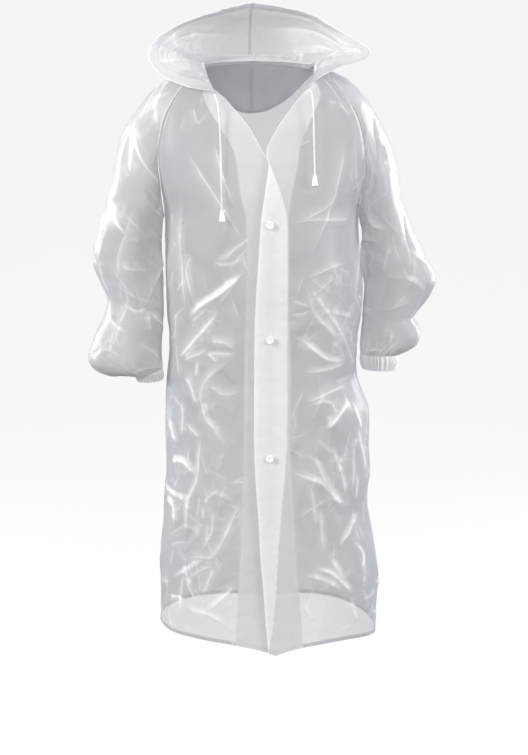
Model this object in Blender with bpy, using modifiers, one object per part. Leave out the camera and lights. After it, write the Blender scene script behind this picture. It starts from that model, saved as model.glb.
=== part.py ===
"""Hooded raincoat of thin frosted film, hollow as it is worn, with the hood laid back.

Metres, +Z up, the front faces -Y, and +X is the wearer's left. The origin lies in the middle of the
neck opening, at the height of the shoulders. The coat leans a little to one side, as it was put on.
"""

import math
from collections import namedtuple

import bmesh
import bpy
from mathutils import Vector

# Driving dimensions
WALL = 0.0012  # body, sleeves and hood
CASING_WALL = 0.003  # the folded edge of the hood, with the drawstring's channel
CUFF_WALL = 0.003  # gathered film over elastic
SEAM_GAP = 0.0003  # each panel stops this far short of a flat seam
BENT_SEAM_GAP = 0.0008  # and this far short of a seam where the panels meet at an angle
ARMHOLE_STEP = 0.0026  # the sleeve starts this far outside the armhole seam
LAYER_GAP = 0.0004
LAP_LIFT = 0.0040  # how far the upper front stands off the lower one where they overlap
LAP_FADE = (0.050, 0.130)  # the lift dies out between these distances from the centre
ROUNDNESS = 0.85  # exponent of the cross-sections: 1 is an ellipse, less is squarer
CASING_WIDTH = 0.016
SNAP_DIAMETER = 0.014
SNAP_HEIGHT = 0.0026
POST_DIAMETER = 0.011
POST_HEIGHT = 0.0016
SNAP_LEVELS = (-0.279, -0.485, -0.700)
CORD_DIAMETER = 0.003
CORD_STEP = 0.0075
CORD_END_LENGTH = 0.020
CORD_END_RADII = (0.0036, 0.0056)
LEAN_AT_ORIGIN = -0.0115
LEAN_SLOPE = -0.0195  # metres of sideways shift for each metre of height

BAND_COLUMNS = 3
PANEL_COLUMNS = 8
BACK_COLUMNS = 18
SHOULDER_ROWS = 3  # between the armhole and the first ring of the sleeve
HOOD_ROWS = 9

# Horizontal rings from the hem to just below the underarm. right, left, front and back are the
# distances from the centre line; the last four columns are where the two fronts and their facings end.
SkirtRow = namedtuple("SkirtRow", "z right left front back under_edge top_edge under_band top_band")
SKIRT = [
    SkirtRow(-1.036, 0.2066, 0.2064, 0.175, 0.172, -0.0125, -0.0132, -0.0732, 0.0512),
    SkirtRow(-0.985, 0.2045, 0.2085, 0.171, 0.169, -0.0022, -0.0172, -0.0690, 0.0482),
    SkirtRow(-0.930, 0.2025, 0.2106, 0.167, 0.164, 0.0045, -0.0200, -0.0650, 0.0455),
    SkirtRow(-0.870, 0.1985, 0.2010, 0.163, 0.160, 0.0093, -0.0240, -0.0610, 0.0420),
    SkirtRow(-0.810, 0.1948, 0.1935, 0.159, 0.156, 0.0158, -0.0255, -0.0575, 0.0392),
    SkirtRow(-0.750, 0.1880, 0.1952, 0.157, 0.152, 0.0228, -0.0290, -0.0540, 0.0372),
    SkirtRow(-0.690, 0.1858, 0.1945, 0.154, 0.146, 0.0292, -0.0305, -0.0505, 0.0358),
    SkirtRow(-0.630, 0.1820, 0.1925, 0.152, 0.140, 0.0320, -0.0295, -0.0477, 0.0368),
    SkirtRow(-0.570, 0.1815, 0.1715, 0.150, 0.134, 0.0333, -0.0280, -0.0455, 0.0385),
    SkirtRow(-0.510, 0.1758, 0.1712, 0.148, 0.128, 0.0345, -0.0265, -0.0434, 0.0395),
    SkirtRow(-0.450, 0.1755, 0.1820, 0.147, 0.125, 0.0357, -0.0240, -0.0413, 0.0385),
    SkirtRow(-0.390, 0.1755, 0.1860, 0.149, 0.126, 0.0370, -0.0200, -0.0392, 0.0372),
    SkirtRow(-0.330, 0.1765, 0.1780, 0.149, 0.130, 0.0378, -0.0145, -0.0370, 0.0368),
]

# Rows from the underarm to the neck, the same on both sides. start is the middle of the front, and
# above the closure the edge of the open neck; seam is the armhole seam; back is the centre back.
YokeRow = namedtuple(
    "YokeRow",
    "start_x start_y start_z seam_x seam_z seam_front seam_back back_y back_z"
    " under_edge top_edge under_band top_band",
)
YOKE = [
    YokeRow(0, -0.147, -0.268, 0.178, -0.262, 0, 0, 0.134, -0.262, 0.038, -0.009, -0.0365, 0.040),
    YokeRow(0, -0.144, -0.222, 0.183, -0.215, -0.050, 0.046, 0.134, -0.215, 0.028, -0.0015, -0.0455, 0.0475),
    YokeRow(0, -0.137, -0.175, 0.186, -0.160, -0.076, 0.070, 0.131, -0.160, 0.011, 0.0065, -0.050, 0.0585),
    YokeRow(0.004, -0.129, -0.146, 0.180, -0.118, -0.083, 0.077, 0.124, -0.115, 0.004, 0.004, -0.056, 0.064),
    YokeRow(0.025, -0.118, -0.107, 0.171, -0.088, -0.083, 0.077, 0.115, -0.080, 0.025, 0.025, -0.078, 0.080),
    YokeRow(0.0465, -0.104, -0.079, 0.156, -0.060, -0.079, 0.073, 0.103, -0.050, 0.0465, 0.0465, -0.095, 0.095),
    YokeRow(0.063, -0.094, -0.059, 0.137, -0.034, -0.070, 0.064, 0.090, -0.025, 0.063, 0.063, -0.105, 0.105),
    YokeRow(0.075, -0.087, -0.047, 0.118, -0.014, -0.052, 0.050, 0.078, -0.006, 0.075, 0.075, -0.103, 0.103),
    YokeRow(0.083, -0.083, -0.040, 0.098, -0.002, -0.036, 0.038, 0.070, 0.006, 0.083, 0.083, -0.094, 0.094),
]
HEM_TOP = -0.70  # the hem's curve fades out at this height
SIDE_DROP = {"left": 0.022, "right": 0.0}  # how far the hem hangs below its first row, by side
FRONT_DIP = 0.027  # at the centre front, dying out over DIP_REACH
DIP_REACH = 0.070
BACK_DIP = 0.010

# Rings of each sleeve, from the shoulder to the cuff, in the plane of the arm: the point furthest from
# the body, the point next to it, and the middle and half-depth front to back.
ArmRow = namedtuple("ArmRow", "outer_x outer_z inner_x inner_z middle_y depth")
RIGHT_ARM = [
    ArmRow(0.254, -0.130, 0.184, -0.272, 0.000, 0.078),
    ArmRow(0.271, -0.195, 0.187, -0.294, 0.002, 0.074),
    ArmRow(0.288, -0.262, 0.188, -0.320, 0.005, 0.072),
    ArmRow(0.3135, -0.343, 0.187, -0.350, 0.008, 0.072),
    ArmRow(0.300, -0.393, 0.186, -0.385, 0.008, 0.068),
    ArmRow(0.289, -0.425, 0.185, -0.420, 0.006, 0.064),
    ArmRow(0.297, -0.455, 0.186, -0.450, 0.003, 0.066),
    ArmRow(0.316, -0.492, 0.188, -0.480, 0.000, 0.070),
    ArmRow(0.3275, -0.530, 0.190, -0.508, -0.004, 0.070),
    ArmRow(0.318, -0.553, 0.191, -0.528, -0.008, 0.064),
    ArmRow(0.286, -0.566, 0.191, -0.542, -0.012, 0.050),
    ArmRow(0.243, -0.563, 0.191, -0.552, -0.014, 0.032),
]
RIGHT_CUFF = [
    ArmRow(0.241, -0.5645, 0.191, -0.5535, -0.014, 0.031),
    ArmRow(0.238, -0.5715, 0.190, -0.5635, -0.015, 0.031),
    ArmRow(0.236, -0.5775, 0.190, -0.5740, -0.016, 0.030),
]
LEFT_ARM = [
    ArmRow(0.2345, -0.123, 0.184, -0.272, 0.000, 0.078),
    ArmRow(0.253, -0.180, 0.187, -0.292, 0.002, 0.074),
    ArmRow(0.264, -0.245, 0.191, -0.315, 0.005, 0.070),
    ArmRow(0.290, -0.312, 0.195, -0.345, 0.008, 0.070),
    ArmRow(0.3245, -0.384, 0.197, -0.378, 0.008, 0.072),
    ArmRow(0.316, -0.415, 0.195, -0.405, 0.006, 0.066),
    ArmRow(0.290, -0.450, 0.193, -0.443, 0.002, 0.058),
    ArmRow(0.2835, -0.465, 0.191, -0.462, 0.000, 0.055),
    ArmRow(0.294, -0.484, 0.187, -0.483, -0.002, 0.056),
    ArmRow(0.289, -0.508, 0.183, -0.505, -0.006, 0.054),
    ArmRow(0.262, -0.523, 0.182, -0.520, -0.010, 0.046),
    ArmRow(0.250, -0.530, 0.182, -0.529, -0.011, 0.038),
]
LEFT_CUFF = [
    ArmRow(0.2490, -0.5315, 0.1825, -0.5305, -0.011, 0.037),
    ArmRow(0.2510, -0.5430, 0.1825, -0.5430, -0.012, 0.037),
    ArmRow(0.2455, -0.5600, 0.1850, -0.5580, -0.014, 0.035),
]
SHOULDER_BULGE = (0.009, 0.027)  # how far the shoulder line stands out and up from straight

# The lower edge of the hood, from the throat round to the centre back, and its mouth on each side.
Point = namedtuple("Point", "x y z")
HOOD_NECK = [
    Point(0.0960, -0.0765, -0.0175),
    Point(0.1005, -0.0360, 0.0060),
    Point(0.1015, 0.0000, 0.0060),
    Point(0.0985, 0.0390, 0.0050),
    Point(0.0560, 0.0670, 0.0090),
    Point(0.0000, 0.0715, 0.0110),
]
RIGHT_BRIM = [
    Point(0.0838, -0.0945, -0.0450),
    Point(0.1120, -0.0955, -0.0405),
    Point(0.1360, -0.0875, -0.0350),
    Point(0.1784, -0.0450, -0.0155),
    Point(0.1989, -0.005, 0.0158),
    Point(0.1893, 0.025, 0.0460),
    Point(0.1625, 0.050, 0.0662),
    Point(0.1137, 0.080, 0.0891),
    Point(0.0563, 0.105, 0.1077),
    Point(0.0000, 0.120, 0.1215),
]
LEFT_BRIM = [
    Point(0.0821, -0.0960, -0.0360),
    Point(0.1010, -0.0880, -0.0225),
    Point(0.1224, -0.0680, -0.0113),
    Point(0.1519, -0.045, 0.0008),
    Point(0.1879, -0.020, 0.0098),
    Point(0.2078, -0.005, 0.0234),
    Point(0.1987, 0.020, 0.0410),
    Point(0.1423, 0.070, 0.0780),
    Point(0.0911, 0.100, 0.1048),
    Point(0.0000, 0.120, 0.1215),
]
# The hood's profile behind the neck: along is the share of the way to the mouth, out and up are the
# distances from the neck seam. It rolls over the seam, hangs as a pouch and rises to the mouth. At the
# sides it lies over the shoulder instead, and lift is how far it stands off a straight line.
PouchRow = namedtuple("PouchRow", "along out up lift")
POUCH = [
    PouchRow(0.00, 0.000, 0.000, 0.000),
    PouchRow(0.10, 0.012, 0.012, 0.004),
    PouchRow(0.22, 0.040, 0.002, 0.008),
    PouchRow(0.36, 0.070, -0.050, 0.010),
    PouchRow(0.48, 0.088, -0.094, 0.010),
    PouchRow(0.58, 0.112, -0.086, 0.009),
    PouchRow(0.72, 0.124, -0.022, 0.007),
    PouchRow(0.86, 0.098, 0.056, 0.003),
]
POUCH_FADE = 2.2
HOOD_COLUMNS = 10  # on each side of the centre back seam

# The free ends of the drawstring, from the hood's edge down to the cord end.
RIGHT_CORD = [
    Point(-0.0955, -0.0945, -0.0500),
    Point(-0.0925, -0.1030, -0.0580),
    Point(-0.0895, -0.1120, -0.0720),
    Point(-0.0880, -0.1210, -0.0920),
    Point(-0.0870, -0.1290, -0.1200),
    Point(-0.0862, -0.1365, -0.1550),
    Point(-0.0857, -0.1430, -0.1950),
    Point(-0.0853, -0.1470, -0.2350),
    Point(-0.0850, -0.1482, -0.2520),
]
LEFT_CORD = [
    Point(0.0775, -0.0950, -0.0430),
    Point(0.0790, -0.1040, -0.0510),
    Point(0.0795, -0.1130, -0.0660),
    Point(0.0797, -0.1210, -0.0850),
    Point(0.0797, -0.1290, -0.1100),
    Point(0.0798, -0.1350, -0.1350),
    Point(0.0800, -0.1410, -0.1650),
    Point(0.0803, -0.1455, -0.1900),
]

FILM = ((0.86, 0.87, 0.89, 1), 0.32)
WHITE_PLASTIC = ((0.93, 0.93, 0.94, 1), 0.35)
WHITE_CORD = ((0.92, 0.92, 0.92, 1), 0.75)


def clear_scene():
    for item in list(bpy.data.objects):
        bpy.data.objects.remove(item)


def new_material(name, finish):
    colour, roughness = finish
    material = bpy.data.materials.new(name)
    material.use_nodes = True
    shader = material.node_tree.nodes["Principled BSDF"]
    shader.inputs["Base Color"].default_value = colour
    shader.inputs["Roughness"].default_value = roughness
    shader.inputs["Metallic"].default_value = 0
    return material


def leaned(point):
    """The same point with the coat's sideways lean."""
    return Vector((point[0] + LEAN_AT_ORIGIN + LEAN_SLOPE * point[2], point[1], point[2]))


def add_object(name, data, finish, collection):
    item = bpy.data.objects.new(name, data)
    data.materials.append(new_material(name, finish))
    collection.objects.link(item)
    return item


def add_shell(name, grid, wall, finish, collection, ring=False):
    """A wall of even thickness on a grid of points, whose rows are rings if ring is set."""
    mesh = bmesh.new()
    rows = [[mesh.verts.new(point) for point in row] for row in grid]
    count = len(rows[0])
    for low, high in zip(rows, rows[1:]):
        for i in range(count if ring else count - 1):
            j = (i + 1) % count
            mesh.faces.new((low[i], low[j], high[j], high[i]))
    data = bpy.data.meshes.new(name)
    mesh.to_mesh(data)
    mesh.free()
    data.shade_smooth()
    item = add_object(name, data, finish, collection)
    solidify = item.modifiers.new("wall", "SOLIDIFY")
    solidify.thickness = wall
    solidify.offset = 0
    return item


def trimmed(points, first=0.0, last=0.0):
    """The same line of points with its ends drawn in by these lengths."""
    points = list(points)
    if first:
        points[0] = points[0] + (points[1] - points[0]).normalized() * first
    if last:
        points[-1] = points[-1] + (points[-2] - points[-1]).normalized() * last
    return points


def trimmed_grid(grid, left=0.0, right=0.0, bottom=0.0, top=0.0):
    grid = [trimmed(row, left, right) for row in grid]
    columns = [trimmed(column, bottom, top) for column in zip(*grid)]
    return [list(row) for row in zip(*columns)]


def moved_out(grid, distance):
    """The same grid with each point moved along the surface's normal, away from the inside."""
    moved = []
    last_row, last_column = len(grid) - 1, len(grid[0]) - 1
    for i, row in enumerate(grid):
        moved.append([])
        for j, point in enumerate(row):
            across = grid[i][min(j + 1, last_column)] - grid[i][max(j - 1, 0)]
            along = grid[min(i + 1, last_row)][j] - grid[max(i - 1, 0)][j]
            normal = across.cross(along).normalized()
            if normal.dot(Vector((point.x, point.y, 0))) < 0:
                normal = -normal
            moved[-1].append(point + normal * distance)
    return moved


def smooth_points(points, count):
    """count points at even distances on a smooth curve through these points."""
    points = [Vector(point) for point in points]
    ends = [points[0] * 2 - points[1]] + points + [points[-1] * 2 - points[-2]]
    fine = []
    for a, b, c, d in zip(ends, ends[1:], ends[2:], ends[3:]):
        for step in range(12):
            t = step / 12
            fine.append(
                (b * 2 + (c - a) * t + (a * 2 - b * 5 + c * 4 - d) * t**2 + (b * 3 - a - c * 3 + d) * t**3) / 2
            )
    fine.append(points[-1])
    lengths = [0.0]
    for a, b in zip(fine, fine[1:]):
        lengths.append(lengths[-1] + (b - a).length)
    spread = []
    k = 0
    for i in range(count):
        target = lengths[-1] * i / (count - 1)
        while k < len(fine) - 2 and lengths[k + 1] < target:
            k += 1
        share = (target - lengths[k]) / (lengths[k + 1] - lengths[k])
        spread.append(fine[k].lerp(fine[k + 1], share))
    return spread


def hem_drop(z, x, side, dip, turn):
    """How far the hem's curve lowers a point, at this share of a quarter turn from the middle."""
    share = max(0.0, (HEM_TOP - z) / (HEM_TOP - SKIRT[0].z))
    return share * (dip * math.exp(-abs(x) / DIP_REACH) + SIDE_DROP[side] * math.sin(abs(turn) * math.pi / 2) ** 3)


def quarter_point(start, seam, turn):
    """A point on the quarter section from start, in the middle, to seam, at the side."""
    sine, cosine = math.sin(turn * math.pi / 2), math.cos(turn * math.pi / 2)
    across = math.copysign(abs(sine) ** ROUNDNESS, sine)
    return Vector(
        (
            start.x + (seam.x - start.x) * across,
            seam.y + (start.y - seam.y) * cosine**ROUNDNESS,
            seam.z + (start.z - seam.z) * cosine**2,
        )
    )


def turn_at(start, seam, x):
    """The share of a quarter turn at which the section reaches x."""
    across = (x - start.x) / (seam.x - start.x)
    return math.copysign(math.asin(min(1.0, abs(across) ** (1 / ROUNDNESS))), across) * 2 / math.pi


def front_sections(side):
    """For each row: start, seam, and the ends of the front and of its facing, with x towards the side."""
    under = side == "right"
    sections = []
    for row in SKIRT:
        half = row.right if under else row.left
        edges = (-row.under_edge, -row.under_band) if under else (row.top_edge, row.top_band)
        sections.append((Vector((0, -row.front, row.z)), Vector((half, 0, row.z)), edges))
    for row in YOKE:
        lap = row.start_x == 0
        edges = (-row.under_edge if lap else row.under_edge, -row.under_band)
        edges = edges if under else (row.top_edge, row.top_band)
        start = Vector((row.start_x, row.start_y, row.start_z))
        sections.append((start, Vector((row.seam_x, row.seam_front, row.seam_z)), edges))
    return sections


def front_grid(side):
    """Rows of points from the front edge to the side, hem first. The first columns carry the facing."""
    grid = []
    mirror = 1 if side == "left" else -1
    for start, seam, (edge, band) in front_sections(side):
        first, last = turn_at(start, seam, edge), turn_at(start, seam, band)
        turns = [first + (last - first) * i / BAND_COLUMNS for i in range(BAND_COLUMNS)]
        turns += [last + (1 - last) * i / PANEL_COLUMNS for i in range(PANEL_COLUMNS + 1)]
        row = []
        for turn in turns:
            point = quarter_point(start, seam, turn)
            if start.x == 0:
                point.z -= hem_drop(start.z, point.x, side, FRONT_DIP, turn)
            if side == "left":
                near, far = LAP_FADE
                point.y -= LAP_LIFT * min(1.0, max(0.0, (far - point.x) / (far - near)))
            row.append(leaned((point.x * mirror, point.y, point.z)))
        grid.append(row)
    return grid


def back_grid():
    """Rows of points from the wearer's right to the wearer's left, hem first."""
    grid = []
    turns = [2 * i / BACK_COLUMNS - 1 for i in range(BACK_COLUMNS + 1)]
    for row in SKIRT + YOKE:
        line = []
        for turn in turns:
            side = "left" if turn > 0 else "right"
            if isinstance(row, SkirtRow):
                start = Vector((0, row.back, row.z))
                seam = Vector((row.left if turn > 0 else row.right, 0, row.z))
            else:
                start = Vector((0, row.back_y, row.back_z))
                seam = Vector((row.seam_x, row.seam_back, row.seam_z))
            point = quarter_point(start, seam, abs(turn))
            if isinstance(row, SkirtRow):
                point.z -= hem_drop(row.z, point.x, side, BACK_DIP, turn)
            line.append(leaned((math.copysign(point.x, turn), point.y, point.z)))
        grid.append(line)
    return grid


def arm_ring(row, count, mirror):
    """A ring of the sleeve, from its outermost point round the front."""
    middle = Vector(((row.outer_x + row.inner_x) / 2, row.middle_y, (row.outer_z + row.inner_z) / 2))
    half = Vector(((row.outer_x - row.inner_x) / 2, 0, (row.outer_z - row.inner_z) / 2))
    ring = []
    for i in range(count):
        angle = 2 * math.pi * i / count
        point = middle + half * math.cos(angle) + Vector((0, -row.depth * math.sin(angle), 0))
        ring.append(leaned((point.x * mirror, point.y, point.z)))
    return ring


def armhole_ring(mirror):
    """The sleeve's first ring: the neck, down the front seam to the underarm, and up the back seam."""
    top = YOKE[-1]
    ring = [Vector((top.seam_x + 0.002, 0, top.seam_z + 0.002))]
    ring += [Vector((row.seam_x, row.seam_front, row.seam_z)) for row in reversed(YOKE)]
    ring += [Vector((row.seam_x, row.seam_back, row.seam_z)) for row in YOKE[1:]]
    return [leaned(((point.x + ARMHOLE_STEP) * mirror, point.y, point.z)) for point in ring]


def sleeve_grid(arm, mirror):
    """Rings from the armhole seam to the cuff."""
    first = armhole_ring(mirror)
    count = len(first)
    rings = [arm_ring(row, count, mirror) for row in arm]
    grid = [first]
    out, up = SHOULDER_BULGE
    for k in range(1, SHOULDER_ROWS + 1):
        share = k / (SHOULDER_ROWS + 1)
        ring = []
        for i, (a, b) in enumerate(zip(first, rings[0])):
            swell = 4 * share * (1 - share) * max(0.0, math.cos(2 * math.pi * i / count))
            ring.append(a.lerp(b, share) + Vector((out * swell * mirror, 0, up * swell)))
        grid.append(ring)
    return grid + rings


def hood_column(neck, brim):
    """A line of points from the neck seam to the hood's mouth."""
    outward = Vector((neck.x, neck.y, 0)).normalized()
    hang = max(0.0, outward.y) ** POUCH_FADE
    keys = []
    for row in POUCH:
        straight = neck.lerp(brim, row.along) + (outward * 0.5 + Vector((0, 0, 1))) * row.lift
        pouch = neck + outward * row.out + Vector((0, 0, row.up))
        keys.append(straight.lerp(pouch, hang))
    return keys + [brim]


def hood_grids(brim, mirror):
    """The hood half and its edge casing, as columns from the throat to the centre back."""
    count = HOOD_COLUMNS + 1
    shell, casing = [], []
    for neck, mouth in zip(smooth_points(HOOD_NECK, count), smooth_points(brim, count)):
        line = [leaned((p.x * mirror, p.y, p.z)) for p in hood_column(neck, mouth)]
        length = sum((b - a).length for a, b in zip(line, line[1:]))
        fine = smooth_points(line, 161)
        edge = max(40, round(160 * (1 - CASING_WIDTH / length)))
        shell.append([fine[round(edge * k / HOOD_ROWS)] for k in range(HOOD_ROWS + 1)])
        casing.append([fine[edge], fine[(edge + 160) // 2], fine[160]])
    return shell, casing


def add_button(name, radius, height, place, normal, finish, collection):
    """A round cap with a soft edge, lying on the surface at place."""
    mesh = bmesh.new()
    bmesh.ops.create_cone(mesh, cap_ends=True, segments=24, radius1=radius, radius2=radius, depth=height)
    data = bpy.data.meshes.new(name)
    mesh.to_mesh(data)
    mesh.free()
    item = add_object(name, data, finish, collection)
    item.rotation_mode = "QUATERNION"
    item.rotation_quaternion = normal.to_track_quat("Z", "Y")
    item.location = place + normal * (height / 2)
    bevel = item.modifiers.new("soft edge", "BEVEL")
    bevel.width = height * 0.3
    bevel.segments = 2
    return item


def add_snaps(left, right, collection):
    """Caps on the outer face of the upper front, and posts behind the facing of the lower one."""
    for number, level in enumerate(SNAP_LEVELS, 1):
        row = min(range(len(left)), key=lambda i: abs(left[i][1].z - level))
        for name, grid, turned in (("cap", left, 1), ("post", right, -1)):
            above = row if grid[row][1].z > level else row + 1
            share = (level - grid[above - 1][1].z) / (grid[above][1].z - grid[above - 1][1].z)
            line = [a.lerp(b, share) for a, b in zip(grid[above - 1], grid[above])]
            x = 0.0
            ordered = sorted(line, key=lambda p: p.x)
            after = next(i for i, p in enumerate(ordered) if p.x > x)
            a, b = ordered[after - 1], ordered[after]
            place = a.lerp(b, (x - a.x) / (b.x - a.x))
            normal = (b - a).cross(Vector((0, 0, 1))).normalized() * turned
            if name == "cap":
                size = (SNAP_DIAMETER / 2, SNAP_HEIGHT)
                place = place + normal * (WALL / 2 + LAYER_GAP)
            else:
                size = (POST_DIAMETER / 2, POST_HEIGHT)
                place = place + normal * (WALL * 1.5 + LAYER_GAP * 3)
            add_button(f"snap_{name}_{number}", *size, place, normal, WHITE_PLASTIC, collection)


def add_cord(name, route, collection):
    """A thin round cord along a smooth curve through the route."""
    length = sum((Vector(b) - Vector(a)).length for a, b in zip(route, route[1:]))
    points = smooth_points(route, round(length / CORD_STEP) + 1)
    data = bpy.data.curves.new(name, "CURVE")
    data.dimensions = "3D"
    data.bevel_depth = CORD_DIAMETER / 2
    data.bevel_resolution = 2
    data.use_fill_caps = True
    spline = data.splines.new("POLY")
    spline.points.add(len(points) - 1)
    for spot, point in zip(spline.points, points):
        spot.co = (*point, 1)
    add_object(name, data, WHITE_CORD, collection)
    return points[-1], (points[-1] - points[-2]).normalized()


def add_cord_end(name, tip, direction, collection):
    """A moulded end that widens downwards, just below the cord."""
    mesh = bmesh.new()
    narrow, wide = CORD_END_RADII
    bmesh.ops.create_cone(
        mesh, cap_ends=True, segments=16, radius1=narrow, radius2=wide, depth=CORD_END_LENGTH
    )
    data = bpy.data.meshes.new(name)
    mesh.to_mesh(data)
    mesh.free()
    item = add_object(name, data, WHITE_PLASTIC, collection)
    item.rotation_mode = "QUATERNION"
    item.rotation_quaternion = direction.to_track_quat("Z", "Y")
    item.location = tip + direction * (CORD_END_LENGTH / 2 + LAYER_GAP)
    bevel = item.modifiers.new("soft edge", "BEVEL")
    bevel.width = 0.0008
    bevel.segments = 2


def add_body(collection):
    fronts = {}
    for side in ("right", "left"):
        grid = front_grid(side)
        fronts[side] = grid
        panel = trimmed_grid(grid, right=BENT_SEAM_GAP, top=BENT_SEAM_GAP)
        add_shell(f"front_{side}", panel, WALL, FILM, collection)
        facing = moved_out([row[: BAND_COLUMNS + 1] for row in grid], -(WALL + LAYER_GAP))
        facing = trimmed_grid(facing, left=0.001, bottom=0.001, top=0.004)
        add_shell(f"facing_{side}", facing, WALL, FILM, collection)
    back = trimmed_grid(back_grid(), BENT_SEAM_GAP, BENT_SEAM_GAP, top=BENT_SEAM_GAP)
    add_shell("back", back, WALL, FILM, collection)
    add_snaps(fronts["left"], fronts["right"], collection)


def add_sleeves(collection):
    for side, mirror, arm, cuff in (("right", -1, RIGHT_ARM, RIGHT_CUFF), ("left", 1, LEFT_ARM, LEFT_CUFF)):
        grid = sleeve_grid(arm, mirror)
        grid = trimmed_grid(grid, bottom=BENT_SEAM_GAP, top=SEAM_GAP)
        add_shell(f"sleeve_{side}", grid, WALL, FILM, collection, ring=True)
        rings = [arm_ring(row, len(grid[0]), mirror) for row in cuff]
        add_shell(f"cuff_{side}", rings, CUFF_WALL, FILM, collection, ring=True)


def add_hood(collection):
    right, right_casing = hood_grids(RIGHT_BRIM, -1)
    left, left_casing = hood_grids(LEFT_BRIM, 1)
    for side, columns in (("right", right), ("left", left)):
        grid = trimmed_grid(columns, left=BENT_SEAM_GAP, right=BENT_SEAM_GAP, top=SEAM_GAP)
        add_shell(f"hood_{side}", grid, WALL, FILM, collection)
    casing = right_casing + left_casing[-2::-1]
    add_shell("hood_casing", casing, CASING_WALL, FILM, collection)


def add_drawstring(collection):
    for side, route in (("right", RIGHT_CORD), ("left", LEFT_CORD)):
        tip, direction = add_cord(f"drawcord_{side}", route, collection)
        add_cord_end(f"cord_end_{side}", tip, direction, collection)


def build():
    clear_scene()
    collection = bpy.data.collections.new("raincoat")
    bpy.context.scene.collection.children.link(collection)
    add_body(collection)
    add_sleeves(collection)
    add_hood(collection)
    add_drawstring(collection)


build()
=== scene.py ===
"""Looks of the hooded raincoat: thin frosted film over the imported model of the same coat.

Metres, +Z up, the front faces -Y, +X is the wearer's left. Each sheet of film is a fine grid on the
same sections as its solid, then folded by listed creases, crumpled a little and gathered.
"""

import math
from collections import namedtuple

import bpy
import numpy as np
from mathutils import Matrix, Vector


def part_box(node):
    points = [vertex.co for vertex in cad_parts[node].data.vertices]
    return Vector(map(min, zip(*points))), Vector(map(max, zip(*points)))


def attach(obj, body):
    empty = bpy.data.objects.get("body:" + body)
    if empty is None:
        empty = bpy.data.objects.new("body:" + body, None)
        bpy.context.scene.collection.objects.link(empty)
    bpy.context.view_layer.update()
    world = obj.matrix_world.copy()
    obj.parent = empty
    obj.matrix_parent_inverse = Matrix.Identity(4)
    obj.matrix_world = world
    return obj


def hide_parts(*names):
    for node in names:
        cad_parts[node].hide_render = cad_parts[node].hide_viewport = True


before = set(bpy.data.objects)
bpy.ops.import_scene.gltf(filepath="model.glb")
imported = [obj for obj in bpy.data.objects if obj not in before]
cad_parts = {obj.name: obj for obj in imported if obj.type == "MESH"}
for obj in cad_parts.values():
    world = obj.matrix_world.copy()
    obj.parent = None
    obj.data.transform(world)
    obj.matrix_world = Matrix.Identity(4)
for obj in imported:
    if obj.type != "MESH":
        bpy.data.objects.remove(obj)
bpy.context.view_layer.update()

# Driving dimensions, as in the part
WALL = 0.0012
LAYER_GAP = 0.0004
LAP_LIFT = 0.0040
LAP_FADE = (0.050, 0.130)
ROUNDNESS = 0.85
CASING_WIDTH = 0.016
CORD_DIAMETER = 0.003
ARMHOLE_STEP = 0.0026
LEAN_AT_ORIGIN = -0.0115
LEAN_SLOPE = -0.0195
HEM_TOP = -0.70
SIDE_DROP = {"left": 0.022, "right": 0.0}
FRONT_DIP = 0.027
DIP_REACH = 0.070
BACK_DIP = 0.010
SHOULDER_BULGE = (0.009, 0.027)
POUCH_FADE = 2.2
MIRROR = {"right": -1, "left": 1}

# Fineness of the film's grids
FRONT_SIZE = (490, 134)
BACK_SIZE = (410, 216)
SLEEVE_SIZE = (235, 200)
CUFF_SIZE = (22, 230)
HOOD_SIZE = (140, 120)
CASING_SIZE = (22, 330)

# Finish of the film: how solid one layer looks, and how much more so along a crease, where part of the whitening is a
# painted highlight
FILM_COLOUR = (0.40, 0.415, 0.44)
SEAM_WIDTH = 0.006
SEAM_LIFT = 0.0008
DOUBLED_WHITE = 0.45
HOOD_WHITE = 0.26
SLEEVE_WHITE = 0.16
# These two are painted light as well as denser film: the front band is painted lighter where the facing lies behind it
# and where the fronts overlap.
FACED_DENSITY_AND_PAINTED_LIGHT = 0.54
OVERLAP_DENSITY_AND_PAINTED_LIGHT = 0.88
HEM_WIDTH = 0.009

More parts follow.
